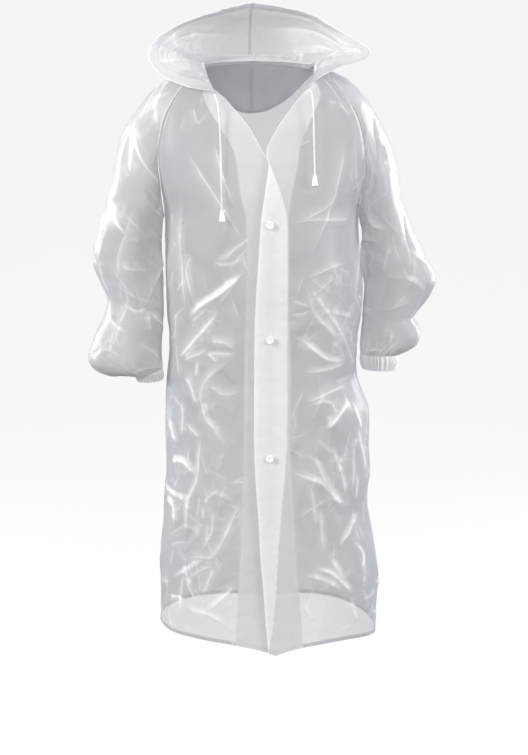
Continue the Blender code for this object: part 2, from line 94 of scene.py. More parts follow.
Section = namedtuple("Section", "start seam edge band")
SkirtRow = namedtuple("SkirtRow", "z right left front back under_edge top_edge under_band top_band")
SKIRT = [
    SkirtRow(-1.036, 0.2066, 0.2064, 0.175, 0.172, -0.0125, -0.0132, -0.0732, 0.0512),
    SkirtRow(-0.985, 0.2045, 0.2085, 0.171, 0.169, -0.0022, -0.0172, -0.0690, 0.0482),
    SkirtRow(-0.930, 0.2025, 0.2106, 0.167, 0.164, 0.0045, -0.0200, -0.0650, 0.0455),
    SkirtRow(-0.870, 0.1985, 0.2010, 0.163, 0.160, 0.0093, -0.0240, -0.0610, 0.0420),
    SkirtRow(-0.810, 0.1948, 0.1935, 0.159, 0.156, 0.0158, -0.0255, -0.0575, 0.0392),
    SkirtRow(-0.750, 0.1880, 0.1952, 0.157, 0.152, 0.0228, -0.0290, -0.0540, 0.0372),
    SkirtRow(-0.690, 0.1858, 0.1945, 0.154, 0.146, 0.0292, -0.0305, -0.0505, 0.0358),
    SkirtRow(-0.630, 0.1820, 0.1925, 0.152, 0.140, 0.0320, -0.0295, -0.0477, 0.0368),
    SkirtRow(-0.570, 0.1815, 0.1715, 0.150, 0.134, 0.0333, -0.0280, -0.0455, 0.0385),
    SkirtRow(-0.510, 0.1758, 0.1712, 0.148, 0.128, 0.0345, -0.0265, -0.0434, 0.0395),
    SkirtRow(-0.450, 0.1755, 0.1820, 0.147, 0.125, 0.0357, -0.0240, -0.0413, 0.0385),
    SkirtRow(-0.390, 0.1755, 0.1860, 0.149, 0.126, 0.0370, -0.0200, -0.0392, 0.0372),
    SkirtRow(-0.330, 0.1765, 0.1780, 0.149, 0.130, 0.0378, -0.0145, -0.0370, 0.0368),
]
YokeRow = namedtuple(
    "YokeRow",
    "start_x start_y start_z seam_x seam_z seam_front seam_back back_y back_z"
    " under_edge top_edge under_band top_band",
)
YOKE = [
    YokeRow(0, -0.147, -0.268, 0.178, -0.262, 0, 0, 0.134, -0.262, 0.038, -0.009, -0.0365, 0.040),
    YokeRow(0, -0.144, -0.222, 0.183, -0.215, -0.050, 0.046, 0.134, -0.215, 0.028, -0.0015, -0.0455, 0.0475),
    YokeRow(0, -0.137, -0.175, 0.186, -0.160, -0.076, 0.070, 0.131, -0.160, 0.011, 0.0065, -0.050, 0.0585),
    YokeRow(0.004, -0.129, -0.146, 0.180, -0.118, -0.083, 0.077, 0.124, -0.115, 0.004, 0.004, -0.056, 0.064),
    YokeRow(0.025, -0.118, -0.107, 0.171, -0.088, -0.083, 0.077, 0.115, -0.080, 0.025, 0.025, -0.078, 0.080),
    YokeRow(0.0465, -0.104, -0.079, 0.156, -0.060, -0.079, 0.073, 0.103, -0.050, 0.0465, 0.0465, -0.095, 0.095),
    YokeRow(0.063, -0.094, -0.059, 0.137, -0.034, -0.070, 0.064, 0.090, -0.025, 0.063, 0.063, -0.105, 0.105),
    YokeRow(0.075, -0.087, -0.047, 0.118, -0.014, -0.052, 0.050, 0.078, -0.006, 0.075, 0.075, -0.103, 0.103),
    YokeRow(0.083, -0.083, -0.040, 0.098, -0.002, -0.036, 0.038, 0.070, 0.006, 0.083, 0.083, -0.094, 0.094),
]
ArmRow = namedtuple("ArmRow", "outer_x outer_z inner_x inner_z middle_y depth")
ARM = {
    "right": [
        ArmRow(0.254, -0.130, 0.184, -0.272, 0.000, 0.078),
        ArmRow(0.271, -0.195, 0.187, -0.294, 0.002, 0.074),
        ArmRow(0.288, -0.262, 0.188, -0.320, 0.005, 0.072),
        ArmRow(0.3135, -0.343, 0.187, -0.350, 0.008, 0.072),
        ArmRow(0.300, -0.393, 0.186, -0.385, 0.008, 0.068),
        ArmRow(0.289, -0.425, 0.185, -0.420, 0.006, 0.064),
        ArmRow(0.297, -0.455, 0.186, -0.450, 0.003, 0.066),
        ArmRow(0.316, -0.492, 0.188, -0.480, 0.000, 0.070),
        ArmRow(0.3275, -0.530, 0.190, -0.508, -0.004, 0.070),
        ArmRow(0.318, -0.553, 0.191, -0.528, -0.008, 0.064),
        ArmRow(0.286, -0.566, 0.191, -0.542, -0.012, 0.050),
        ArmRow(0.243, -0.563, 0.191, -0.552, -0.014, 0.032),
    ],
    "left": [
        ArmRow(0.2345, -0.123, 0.184, -0.272, 0.000, 0.078),
        ArmRow(0.253, -0.180, 0.187, -0.292, 0.002, 0.074),
        ArmRow(0.264, -0.245, 0.191, -0.315, 0.005, 0.070),
        ArmRow(0.290, -0.312, 0.195, -0.345, 0.008, 0.070),
        ArmRow(0.3245, -0.384, 0.197, -0.378, 0.008, 0.072),
        ArmRow(0.316, -0.415, 0.195, -0.405, 0.006, 0.066),
        ArmRow(0.290, -0.450, 0.193, -0.443, 0.002, 0.058),
        ArmRow(0.2835, -0.465, 0.191, -0.462, 0.000, 0.055),
        ArmRow(0.294, -0.484, 0.187, -0.483, -0.002, 0.056),
        ArmRow(0.289, -0.508, 0.183, -0.505, -0.006, 0.054),
        ArmRow(0.262, -0.523, 0.182, -0.520, -0.010, 0.046),
        ArmRow(0.250, -0.530, 0.182, -0.529, -0.011, 0.038),
    ],
}
CUFF = {
    "right": [
        ArmRow(0.241, -0.5645, 0.191, -0.5535, -0.014, 0.031),
        ArmRow(0.238, -0.5715, 0.190, -0.5635, -0.015, 0.031),
        ArmRow(0.236, -0.5775, 0.190, -0.5740, -0.016, 0.030),
    ],
    "left": [
        ArmRow(0.2490, -0.5315, 0.1825, -0.5305, -0.011, 0.037),
        ArmRow(0.2510, -0.5430, 0.1825, -0.5430, -0.012, 0.037),
        ArmRow(0.2455, -0.5600, 0.1850, -0.5580, -0.014, 0.035),
    ],
}
HOOD_NECK = [
    (0.0960, -0.0765, -0.0175),
    (0.1005, -0.0360, 0.0060),
    (0.1015, 0.0000, 0.0060),
    (0.0985, 0.0390, 0.0050),
    (0.0560, 0.0670, 0.0090),
    (0.0000, 0.0715, 0.0110),
]
BRIM = {
    "right": [
        (0.0838, -0.0945, -0.0450),
        (0.1120, -0.0955, -0.0405),
        (0.1360, -0.0875, -0.0350),
        (0.1784, -0.0450, -0.0155),
        (0.1989, -0.005, 0.0158),
        (0.1893, 0.025, 0.0460),
        (0.1625, 0.050, 0.0662),
        (0.1137, 0.080, 0.0891),
        (0.0563, 0.105, 0.1077),
        (0.0000, 0.120, 0.1215),
    ],
    "left": [
        (0.0821, -0.0960, -0.0360),
        (0.1010, -0.0880, -0.0225),
        (0.1224, -0.0680, -0.0113),
        (0.1519, -0.045, 0.0008),
        (0.1879, -0.020, 0.0098),
        (0.2078, -0.005, 0.0234),
        (0.1987, 0.020, 0.0410),
        (0.1423, 0.070, 0.0780),
        (0.0911, 0.100, 0.1048),
        (0.0000, 0.120, 0.1215),
    ],
}
PouchRow = namedtuple("PouchRow", "along out up lift")
POUCH = [
    PouchRow(0.00, 0.000, 0.000, 0.000),
    PouchRow(0.10, 0.012, 0.012, 0.004),
    PouchRow(0.22, 0.040, 0.002, 0.008),
    PouchRow(0.36, 0.070, -0.050, 0.010),
    PouchRow(0.48, 0.088, -0.094, 0.010),
    PouchRow(0.58, 0.112, -0.086, 0.009),
    PouchRow(0.72, 0.124, -0.022, 0.007),
    PouchRow(0.86, 0.098, 0.056, 0.003),
]
CORD_ROUTE = {
    "right": [
        (-0.0955, -0.0945, -0.0500),
        (-0.0925, -0.1030, -0.0580),
        (-0.0895, -0.1120, -0.0720),
        (-0.0880, -0.1210, -0.0920),
        (-0.0870, -0.1290, -0.1200),
        (-0.0862, -0.1365, -0.1550),
        (-0.0857, -0.1430, -0.1950),
        (-0.0853, -0.1470, -0.2350),
        (-0.0850, -0.1482, -0.2520),
    ],
    "left": [
        (0.0775, -0.0950, -0.0430),
        (0.0790, -0.1040, -0.0510),
        (0.0795, -0.1130, -0.0660),
        (0.0797, -0.1210, -0.0850),
        (0.0797, -0.1290, -0.1100),
        (0.0798, -0.1350, -0.1350),
        (0.0800, -0.1410, -0.1650),
        (0.0803, -0.1455, -0.1900),
    ],
}

# Creases seen from the front, or for the back from behind. height is how far the crest stands out of
# the film, or in if negative; near and far are how fast it falls away on either side; path is (x, z).
Crease = namedtuple("Crease", "height near far path")
RIGHT_FRONT_CREASES = [
    Crease(0.0024, 0.006, 0.009, [(-0.150, -0.144), (-0.115, -0.200), (-0.075, -0.260), (-0.040, -0.318)]),
    Crease(0.0014, 0.004, 0.006, [(-0.098, -0.130), (-0.084, -0.190), (-0.062, -0.250)]),
    Crease(0.0030, 0.006, 0.008, [(-0.155, -0.215), (-0.156, -0.300), (-0.150, -0.380), (-0.148, -0.460)]),
    Crease(0.0060, 0.011, 0.005, [(-0.032, -0.351), (-0.053, -0.367), (-0.085, -0.398), (-0.115, -0.421), (-0.134, -0.438), (-0.143, -0.457)]),
    Crease(0.0018, 0.004, 0.006, [(-0.048, -0.362), (-0.074, -0.400), (-0.096, -0.428)]),
    Crease(0.0050, 0.004, 0.007, [(-0.103, -0.423), (-0.094, -0.435), (-0.106, -0.457), (-0.131, -0.488), (-0.152, -0.513), (-0.165, -0.529)]),
    Crease(0.0018, 0.003, 0.003, [(-0.103, -0.424), (-0.124, -0.444), (-0.142, -0.462)]),
    Crease(0.0024, 0.006, 0.004, [(-0.017, -0.284), (-0.039, -0.303), (-0.060, -0.319), (-0.080, -0.337), (-0.101, -0.341)]),
    Crease(0.0018, 0.004, 0.004, [(-0.104, -0.343), (-0.081, -0.350), (-0.060, -0.344), (-0.042, -0.333)]),
    Crease(0.0018, 0.004, 0.004, [(-0.144, -0.326), (-0.141, -0.340), (-0.146, -0.362), (-0.139, -0.398), (-0.134, -0.419)]),
    Crease(0.0034, 0.008, 0.005, [(-0.113, -0.489), (-0.085, -0.491), (-0.069, -0.497), (-0.059, -0.508)]),
    Crease(-0.0024, 0.004, 0.004, [(-0.112, -0.509), (-0.085, -0.509), (-0.060, -0.510)]),
    Crease(0.0028, 0.004, 0.006, [(-0.062, -0.512), (-0.085, -0.532), (-0.107, -0.552), (-0.119, -0.571), (-0.123, -0.593), (-0.120, -0.615), (-0.114, -0.633), (-0.102, -0.646), (-0.086, -0.667), (-0.070, -0.690)]),
    Crease(0.0020, 0.003, 0.003, [(-0.112, -0.509), (-0.103, -0.519), (-0.096, -0.527)]),
    Crease(0.0018, 0.004, 0.005, [(-0.158, -0.532), (-0.138, -0.518), (-0.124, -0.511), (-0.110, -0.501)]),
    Crease(0.0016, 0.003, 0.003, [(-0.130, -0.528), (-0.131, -0.543), (-0.132, -0.559)]),
    Crease(0.0040, 0.009, 0.005, [(-0.156, -0.556), (-0.141, -0.571), (-0.134, -0.594), (-0.123, -0.613)]),
    Crease(0.0022, 0.006, 0.004, [(-0.119, -0.573), (-0.098, -0.575), (-0.086, -0.583), (-0.063, -0.582), (-0.054, -0.571)]),
    Crease(0.0018, 0.004, 0.004, [(-0.158, -0.602), (-0.155, -0.635), (-0.157, -0.676)]),
    Crease(0.0022, 0.004, 0.005, [(-0.176, -0.642), (-0.171, -0.662), (-0.164, -0.685)]),
    Crease(0.0044, 0.005, 0.009, [(-0.175, -0.719), (-0.157, -0.713), (-0.143, -0.725), (-0.135, -0.743)]),
    Crease(0.0028, 0.006, 0.005, [(-0.123, -0.643), (-0.125, -0.689), (-0.131, -0.745), (-0.144, -0.784), (-0.150, -0.822), (-0.155, -0.869)]),
    Crease(0.0016, 0.004, 0.004, [(-0.150, -0.646), (-0.132, -0.660), (-0.127, -0.672)]),
    Crease(0.0040, 0.005, 0.008, [(-0.186, -0.791), (-0.172, -0.799), (-0.169, -0.817), (-0.169, -0.842)]),
    Crease(0.0020, 0.004, 0.004, [(-0.121, -0.791), (-0.105, -0.769), (-0.087, -0.759)]),
    Crease(0.0015, 0.003, 0.003, [(-0.119, -0.819), (-0.121, -0.791)]),
    Crease(0.0018, 0.004, 0.004, [(-0.103, -0.788), (-0.105, -0.834), (-0.118, -0.863), (-0.127, -0.881)]),
    Crease(0.0020, 0.004, 0.004, [(-0.054, -0.776), (-0.069, -0.813), (-0.087, -0.853)]),
    Crease(0.0034, 0.004, 0.007, [(-0.055, -0.802), (-0.073, -0.832), (-0.094, -0.868), (-0.109, -0.886), (-0.130, -0.887), (-0.157, -0.899)]),
    Crease(0.0020, 0.004, 0.004, [(-0.102, -0.898), (-0.127, -0.912), (-0.145, -0.932)]),
    Crease(0.0028, 0.004, 0.005, [(-0.100, -0.898), (-0.113, -0.932), (-0.122, -0.963)]),
    Crease(-0.0028, 0.004, 0.004, [(-0.157, -0.901), (-0.150, -0.924), (-0.145, -0.947)]),
    Crease(0.0032, 0.007, 0.005, [(-0.059, -0.932), (-0.082, -0.952), (-0.104, -0.974), (-0.120, -0.989)]),
    Crease(0.0022, 0.004, 0.005, [(-0.153, -0.971), (-0.142, -0.987), (-0.117, -0.990), (-0.088, -1.002), (-0.076, -1.018)]),
    Crease(-0.0034, 0.006, 0.006, [(-0.183, -0.973), (-0.169, -0.968), (-0.154, -0.970)]),
]
LEFT_FRONT_CREASES = [
    Crease(0.0022, 0.006, 0.009, [(0.140, -0.120), (0.126, -0.190), (0.104, -0.262), (0.070, -0.345)]),
    Crease(0.0016, 0.004, 0.005, [(0.130, -0.207), (0.105, -0.244), (0.077, -0.262), (0.050, -0.275)]),
    Crease(0.0030, 0.008, 0.006, [(0.166, -0.200), (0.170, -0.290), (0.164, -0.380), (0.158, -0.455)]),
    Crease(0.0034, 0.008, 0.004, [(0.036, -0.275), (0.072, -0.272), (0.110, -0.272), (0.140, -0.272), (0.155, -0.266)]),
    Crease(0.0022, 0.005, 0.004, [(0.060, -0.377), (0.091, -0.364), (0.116, -0.355), (0.144, -0.350)]),
    Crease(0.0044, 0.010, 0.005, [(0.060, -0.377), (0.088, -0.414), (0.111, -0.449), (0.137, -0.492), (0.151, -0.519)]),
    Crease(0.0024, 0.004, 0.005, [(0.060, -0.379), (0.069, -0.402), (0.077, -0.428), (0.088, -0.447), (0.111, -0.474), (0.133, -0.503)]),
    Crease(0.0014, 0.004, 0.004, [(0.036, -0.412), (0.054, -0.418), (0.077, -0.428)]),
    Crease(-0.0018, 0.004, 0.004, [(0.036, -0.439), (0.058, -0.438), (0.077, -0.430)]),
    Crease(0.0034, 0.004, 0.006, [(0.036, -0.485), (0.060, -0.487), (0.083, -0.505), (0.102, -0.521), (0.121, -0.527), (0.149, -0.526)]),
    Crease(0.0024, 0.004, 0.005, [(0.055, -0.543), (0.092, -0.544), (0.121, -0.538), (0.146, -0.527)]),
    Crease(0.0030, 0.009, 0.009, [(0.060, -0.601), (0.088, -0.591), (0.121, -0.580), (0.148, -0.575)]),
    Crease(0.0022, 0.005, 0.005, [(0.064, -0.609), (0.088, -0.600), (0.111, -0.604), (0.117, -0.617), (0.113, -0.644)]),
    Crease(0.0050, 0.008, 0.005, [(0.147, -0.601), (0.131, -0.618), (0.111, -0.642), (0.103, -0.655)]),
    Crease(0.0030, 0.004, 0.006, [(0.153, -0.606), (0.163, -0.635), (0.174, -0.667)]),
    Crease(0.0038, 0.006, 0.005, [(0.159, -0.641), (0.167, -0.680), (0.176, -0.716), (0.179, -0.750)]),
    Crease(0.0024, 0.004, 0.005, [(0.107, -0.674), (0.123, -0.705), (0.134, -0.744), (0.141, -0.788)]),
    Crease(0.0026, 0.004, 0.005, [(0.051, -0.689), (0.066, -0.695), (0.084, -0.709), (0.096, -0.734), (0.111, -0.763), (0.131, -0.793), (0.145, -0.811)]),
    Crease(0.0036, 0.005, 0.007, [(0.034, -0.710), (0.051, -0.729), (0.073, -0.737), (0.097, -0.750), (0.117, -0.778), (0.137, -0.806)]),
    Crease(0.0018, 0.004, 0.004, [(0.058, -0.747), (0.073, -0.759), (0.080, -0.797), (0.086, -0.838)]),
    Crease(0.0026, 0.004, 0.005, [(0.092, -0.789), (0.092, -0.816), (0.096, -0.853), (0.105, -0.889)]),
    Crease(0.0028, 0.004, 0.004, [(0.132, -0.880), (0.132, -0.860), (0.144, -0.849), (0.155, -0.828), (0.168, -0.813)]),
    Crease(0.0024, 0.004, 0.005, [(0.154, -0.862), (0.173, -0.896), (0.166, -0.927)]),
    Crease(0.0036, 0.004, 0.006, [(0.076, -0.907), (0.103, -0.909), (0.130, -0.935), (0.156, -0.964)]),
    Crease(0.0026, 0.004, 0.004, [(0.058, -0.913), (0.088, -0.922), (0.114, -0.937), (0.140, -0.955)]),
    Crease(0.0020, 0.003, 0.004, [(0.111, -0.888), (0.120, -0.906), (0.140, -0.938)]),
    Crease(0.0018, 0.004, 0.004, [(0.061, -0.961), (0.069, -0.984), (0.084, -1.002)]),
    Crease(0.0026, 0.005, 0.005, [(0.150, -0.968), (0.154, -0.992), (0.164, -1.017)]),
    Crease(0.0015, 0.003, 0.003, [(0.155, -0.695), (0.157, -0.733), (0.153, -0.773)]),
    Crease(0.0015, 0.003, 0.003, [(0.165, -0.739), (0.163, -0.768), (0.161, -0.796)]),
]
BACK_CREASES = [
    Crease(0.0050, 0.010, 0.005, [(0.165, -0.300), (0.120, -0.345), (0.070, -0.372), (0.025, -0.380)]),
    Crease(0.0042, 0.006, 0.010, [(-0.175, -0.320), (-0.130, -0.352), (-0.085, -0.390), (-0.050, -0.440)]),
    Crease(0.0030, 0.006, 0.004, [(-0.060, -0.180), (-0.020, -0.196), (0.040, -0.190), (0.078, -0.172)]),
    Crease(0.0034, 0.005, 0.008, [(0.150, -0.470), (0.105, -0.500), (0.060, -0.512), (0.005, -0.500)]),
    Crease(0.0026, 0.004, 0.004, [(0.060, -0.512), (0.040, -0.560), (0.048, -0.620), (0.030, -0.680)]),
    Crease(0.0036, 0.008, 0.005, [(-0.160, -0.540), (-0.120, -0.575), (-0.070, -0.590), (-0.030, -0.640)]),
    Crease(0.0024, 0.004, 0.005, [(-0.120, -0.575), (-0.128, -0.640), (-0.110, -0.720), (-0.118, -0.800)]),
    Crease(0.0030, 0.005, 0.005, [(0.160, -0.620), (0.140, -0.690), (0.150, -0.760), (0.132, -0.840)]),
    Crease(0.0032, 0.004, 0.007, [(0.100, -0.700), (0.060, -0.760), (0.010, -0.780), (-0.040, -0.830)]),
    Crease(0.0022, 0.004, 0.004, [(-0.040, -0.830), (-0.075, -0.880), (-0.080, -0.950)]),
    Crease(0.0028, 0.005, 0.004, [(0.090, -0.860), (0.050, -0.900), (0.030, -0.960), (0.040, -1.010)]),
    Crease(0.0030, 0.006, 0.004, [(-0.170, -0.850), (-0.140, -0.900), (-0.150, -0.970)]),
    Crease(0.0024, 0.004, 0.004, [(0.175, -0.900), (0.150, -0.945), (0.120, -0.960)]),
]
SLEEVE_CREASES = {
    "right": [
        Crease(0.0036, 0.012, 0.008, [(-0.182, -0.036), (-0.192, -0.056), (-0.199, -0.081), (-0.192, -0.109)]),
        Crease(-0.0046, 0.009, 0.009, [(-0.240, -0.097), (-0.248, -0.131), (-0.250, -0.163), (-0.245, -0.198)]),
        Crease(0.0062, 0.006, 0.012, [(-0.239, -0.097), (-0.237, -0.127), (-0.225, -0.162), (-0.207, -0.194), (-0.188, -0.229)]),
        Crease(0.0062, 0.006, 0.013, [(-0.280, -0.215), (-0.277, -0.246), (-0.266, -0.278), (-0.246, -0.309)]),
        Crease(0.0044, 0.007, 0.012, [(-0.229, -0.211), (-0.211, -0.247), (-0.188, -0.283)]),
        Crease(0.0034, 0.012, 0.012, [(-0.269, -0.248), (-0.239, -0.281), (-0.203, -0.313)]),
        Crease(0.0034, 0.010, 0.010, [(-0.270, -0.351), (-0.245, -0.364), (-0.212, -0.364)]),
        Crease(0.0070, 0.005, 0.012, [(-0.186, -0.346), (-0.201, -0.380), (-0.215, -0.415), (-0.219, -0.443)]),
        Crease(0.0030, 0.010, 0.008, [(-0.285, -0.357), (-0.258, -0.393), (-0.231, -0.430)]),
        Crease(0.0050, 0.004, 0.006, [(-0.219, -0.442), (-0.204, -0.456), (-0.184, -0.480)]),
        Crease(0.0034, 0.004, 0.005, [(-0.217, -0.444), (-0.215, -0.462), (-0.215, -0.484)]),
        Crease(-0.0032, 0.006, 0.006, [(-0.268, -0.422), (-0.241, -0.439), (-0.213, -0.437)]),
        Crease(0.0030, 0.008, 0.008, [(-0.290, -0.446), (-0.276, -0.467), (-0.250, -0.478)]),
        Crease(0.0036, 0.006, 0.006, [(-0.239, -0.495), (-0.214, -0.517), (-0.195, -0.538)]),
        Crease(-0.0026, 0.004, 0.004, [(-0.323, -0.529), (-0.313, -0.518), (-0.300, -0.509)]),
        Crease(0.0026, 0.006, 0.005, [(-0.296, -0.267), (-0.297, -0.295), (-0.307, -0.325)]),
        Crease(0.0028, 0.006, 0.005, [(-0.305, -0.353), (-0.297, -0.387), (-0.282, -0.416)]),
    ],
    "left": [
        Crease(-0.0046, 0.009, 0.009, [(0.195, -0.073), (0.198, -0.106), (0.200, -0.149), (0.198, -0.171)]),
        Crease(-0.0034, 0.005, 0.005, [(0.185, -0.178), (0.187, -0.211), (0.176, -0.238), (0.173, -0.270)]),
        Crease(-0.0050, 0.007, 0.007, [(0.198, -0.185), (0.192, -0.221), (0.185, -0.267)]),
        Crease(0.0034, 0.007, 0.007, [(0.184, -0.196), (0.178, -0.226), (0.177, -0.261)]),
        Crease(0.0054, 0.006, 0.010, [(0.205, -0.236), (0.190, -0.255), (0.193, -0.279), (0.207, -0.292), (0.225, -0.291)]),
        Crease(0.0046, 0.008, 0.006, [(0.166, -0.314), (0.194, -0.315), (0.218, -0.314)]),
        Crease(0.0052, 0.006, 0.010, [(0.167, -0.317), (0.169, -0.350), (0.192, -0.396)]),
        Crease(-0.0042, 0.008, 0.008, [(0.256, -0.254), (0.259, -0.295), (0.267, -0.342)]),
        Crease(0.0036, 0.010, 0.010, [(0.229, -0.321), (0.223, -0.347), (0.219, -0.381)]),
        Crease(0.0028, 0.010, 0.010, [(0.206, -0.333), (0.202, -0.356), (0.197, -0.386)]),
        Crease(0.0036, 0.006, 0.008, [(0.250, -0.380), (0.273, -0.390), (0.299, -0.409)]),
        Crease(0.0030, 0.008, 0.006, [(0.196, -0.450), (0.233, -0.440), (0.271, -0.426)]),
        Crease(0.0020, 0.003, 0.004, [(0.172, -0.445), (0.195, -0.451), (0.205, -0.447)]),
        Crease(0.0026, 0.005, 0.005, [(0.233, -0.482), (0.231, -0.501), (0.228, -0.518)]),
        Crease(0.0034, 0.010, 0.008, [(0.177, -0.056), (0.169, -0.081), (0.181, -0.113), (0.172, -0.139)]),
        Crease(0.0034, 0.009, 0.007, [(0.216, -0.132), (0.223, -0.164), (0.230, -0.197)]),
    ],
}


# ---------------------------------------------------------------- curves and sections


def spline(values, places):
    """Smooth values at fractional places along a list, a Catmull-Rom curve through its entries."""
    values = np.asarray(values, float)
    padded = np.concatenate([[2 * values[0] - values[1]], values, [2 * values[-1] - values[-2]]])
    low = np.clip(np.floor(places).astype(int), 0, len(values) - 2)
    t = (places - low).reshape([-1] + [1] * (values.ndim - 1))
    a, b, c, d = (padded[low + k] for k in range(4))
    return (2 * b + (c - a) * t + (2 * a - 5 * b + 4 * c - d) * t**2 + (3 * b - a - 3 * c + d) * t**3) / 2


def along_of(points):
    """Distance from the first point to each point of a line."""
    steps = np.linalg.norm(np.diff(points, axis=0), axis=1)
    return np.concatenate([[0], np.cumsum(steps)])


def smooth_line(points, count):
    """count points at even distances on a smooth curve through these."""
    fine = spline(points, np.linspace(0, len(points) - 1, 24 * len(points)))
    along = along_of(fine)
    places = np.linspace(0, along[-1], count)
    return np.stack([np.interp(places, along, fine[:, k]) for k in range(3)], axis=1)


def even_rows(grid, count):
    """The same rows, each with count points at even distances."""
    made = np.empty((len(grid), count, 3))
    for i, row in enumerate(grid):
        along = along_of(row)
        places = np.linspace(0, along[-1], count)
        for axis in range(3):
            made[i, :, axis] = np.interp(places, along, row[:, axis])
    return made


def even_places(keys, count):
    """Fractional places along a list of points or rings, at even distances."""
    flat = np.asarray(keys, float).reshape(len(keys), -1, 3)
    steps = np.linalg.norm(np.diff(flat, axis=0), axis=2).mean(axis=1)
    along = np.concatenate([[0], np.cumsum(steps)])
    return np.interp(np.linspace(0, along[-1], count), along, np.arange(len(keys)))


def leaned(points):
    """The same points with the coat's sideways lean."""
    points = np.array(points, float)
    points[..., 0] += LEAN_AT_ORIGIN + LEAN_SLOPE * points[..., 2]
    return points


def quarter_points(start, seam, turn):
    """Points on each row's quarter section from start, in the middle, to seam, at the side."""
    sine, cosine = np.sin(turn * math.pi / 2), np.cos(turn * math.pi / 2)
    across = np.copysign(np.abs(sine) ** ROUNDNESS, sine)
    start, seam = start[:, None, :], seam[:, None, :]
    return np.stack(
        [
            start[..., 0] + (seam[..., 0] - start[..., 0]) * across,
            seam[..., 1] + (start[..., 1] - seam[..., 1]) * np.maximum(cosine, 0) ** ROUNDNESS,
            seam[..., 2] + (start[..., 2] - seam[..., 2]) * cosine**2,
        ],
        axis=2,
    )


def turn_at(start, seam, x):
    """The share of a quarter turn at which each row's section reaches x."""
    across = (x - start[:, 0]) / (seam[:, 0] - start[:, 0])
    return np.copysign(np.arcsin(np.minimum(1, np.abs(across) ** (1 / ROUNDNESS))), across) * 2 / math.pi


def hem_drop(z, x, drop, dip, turn):
    """How far the hem's curve lowers each point, at this share of a quarter turn from the middle."""
    share = np.clip((HEM_TOP - z) / (HEM_TOP - SKIRT[0].z), 0, None)
    return share * (dip * np.exp(-np.abs(x) / DIP_REACH) + drop * np.sin(np.abs(turn) * math.pi / 2) ** 3)


def front_sections(side):
    """Start, seam, front edge and facing edge of each row of a front, hem first, x towards the side."""
    under = side == "right"
    rows = []
    for row in SKIRT:
        half = row.right if under else row.left
        edges = (-row.under_edge, -row.under_band) if under else (row.top_edge, row.top_band)
        rows.append([0, -row.front, row.z, half, 0, row.z, *edges])
    for row in YOKE:
        edge = -row.under_edge if row.start_x == 0 else row.under_edge
        edges = (edge, -row.under_band) if under else (row.top_edge, row.top_band)
        rows.append([row.start_x, row.start_y, row.start_z, row.seam_x, row.seam_front, row.seam_z, *edges])
    rows = np.array(rows, float)
    return rows, even_places(rows[:, :6].reshape(len(rows), 2, 3), FRONT_SIZE[0])


def front_base(side, to_band=False):
    """A front's smooth form, or its facing's, as (rows, columns, 3), and how far it is lifted."""
    keys, places = front_sections(side)
    rows = spline(keys, places)
    start, seam, edge, band = rows[:, :3], rows[:, 3:6], rows[:, 6], rows[:, 7]
    start[:, 0] = np.maximum(start[:, 0], 0)
    first = turn_at(start, seam, edge)
    last = turn_at(start, seam, band) if to_band else np.ones(len(rows))
    turn = first[:, None] + (last - first)[:, None] * np.linspace(0, 1, 320)
    points = quarter_points(start, seam, turn)
    lap = np.clip(1 - start[:, :1] / 0.004, 0, 1)
    points[..., 2] -= lap * hem_drop(start[:, 2:3], points[..., 0], SIDE_DROP[side], FRONT_DIP, turn)
    points = even_rows(points, 30 if to_band else FRONT_SIZE[1])
    near, far = LAP_FADE
    lift = np.zeros_like(points)
    if side == "left":
        lift[..., 1] = -LAP_LIFT * np.clip((far - points[..., 0]) / (far - near), 0, 1)
    points[..., 0] *= MIRROR[side]
    return leaned(points), lift


def back_base():
    """The back's smooth form, from the wearer's right to left."""
    keys = [[0, row.back, row.z, row.right, 0, row.z, row.left] for row in SKIRT]
    keys += [[0, row.back_y, row.back_z, row.seam_x, row.seam_back, row.seam_z, row.seam_x] for row in YOKE]
    keys = np.array(keys, float)
    rows = spline(keys, even_places(keys[:, :6].reshape(len(keys), 2, 3), BACK_SIZE[0]))
    start, seam = rows[:, :3], rows[:, 3:6]
    halves = []
    for side, half in (("right", seam[:, 0]), ("left", rows[:, 6])):
        edge = np.column_stack([half, seam[:, 1], seam[:, 2]])
        turn = np.linspace(1, 0, 260) if side == "right" else np.linspace(0, 1, 260)[1:]
        turn = np.tile(turn, (len(rows), 1))
        points = quarter_points(start, edge, turn)
        points[..., 2] -= hem_drop(start[:, 2:3], points[..., 0], SIDE_DROP[side], BACK_DIP, turn)
        points[..., 0] *= MIRROR[side]
        halves.append(points)
    return leaned(even_rows(np.concatenate(halves, axis=1), BACK_SIZE[1]))


def arm_rings(rows, count, mirror):
    """Rings of the sleeve or cuff, each from its outermost point round the front."""
    angle = np.linspace(0, 2 * math.pi, count, endpoint=False)
    rings = []
    for row in rows:
        middle = np.array([row.outer_x + row.inner_x, 2 * row.middle_y, row.outer_z + row.inner_z]) / 2
        half = np.array([row.outer_x - row.inner_x, 0, row.outer_z - row.inner_z]) / 2
        ring = middle + np.outer(np.cos(angle), half) + np.outer(np.sin(angle), [0, -row.depth, 0])
        rings.append(ring * [mirror, 1, 1])
    return leaned(rings)


def armhole_ring(count, mirror):
    """The sleeve's first ring, on the armhole seam, smooth and as fine as the others."""
    top = YOKE[-1]
    ring = [(top.seam_x + 0.002, 0, top.seam_z + 0.002)]
    ring += [(row.seam_x, row.seam_front, row.seam_z) for row in reversed(YOKE)]
    ring += [(row.seam_x, row.seam_back, row.seam_z) for row in YOKE[1:]]
    closed = np.array(ring[-2:] + ring + ring[:3])
    fine = spline(closed, 2 + np.linspace(0, len(ring), count, endpoint=False))
    return leaned((fine + [ARMHOLE_STEP, 0, 0]) * [mirror, 1, 1])


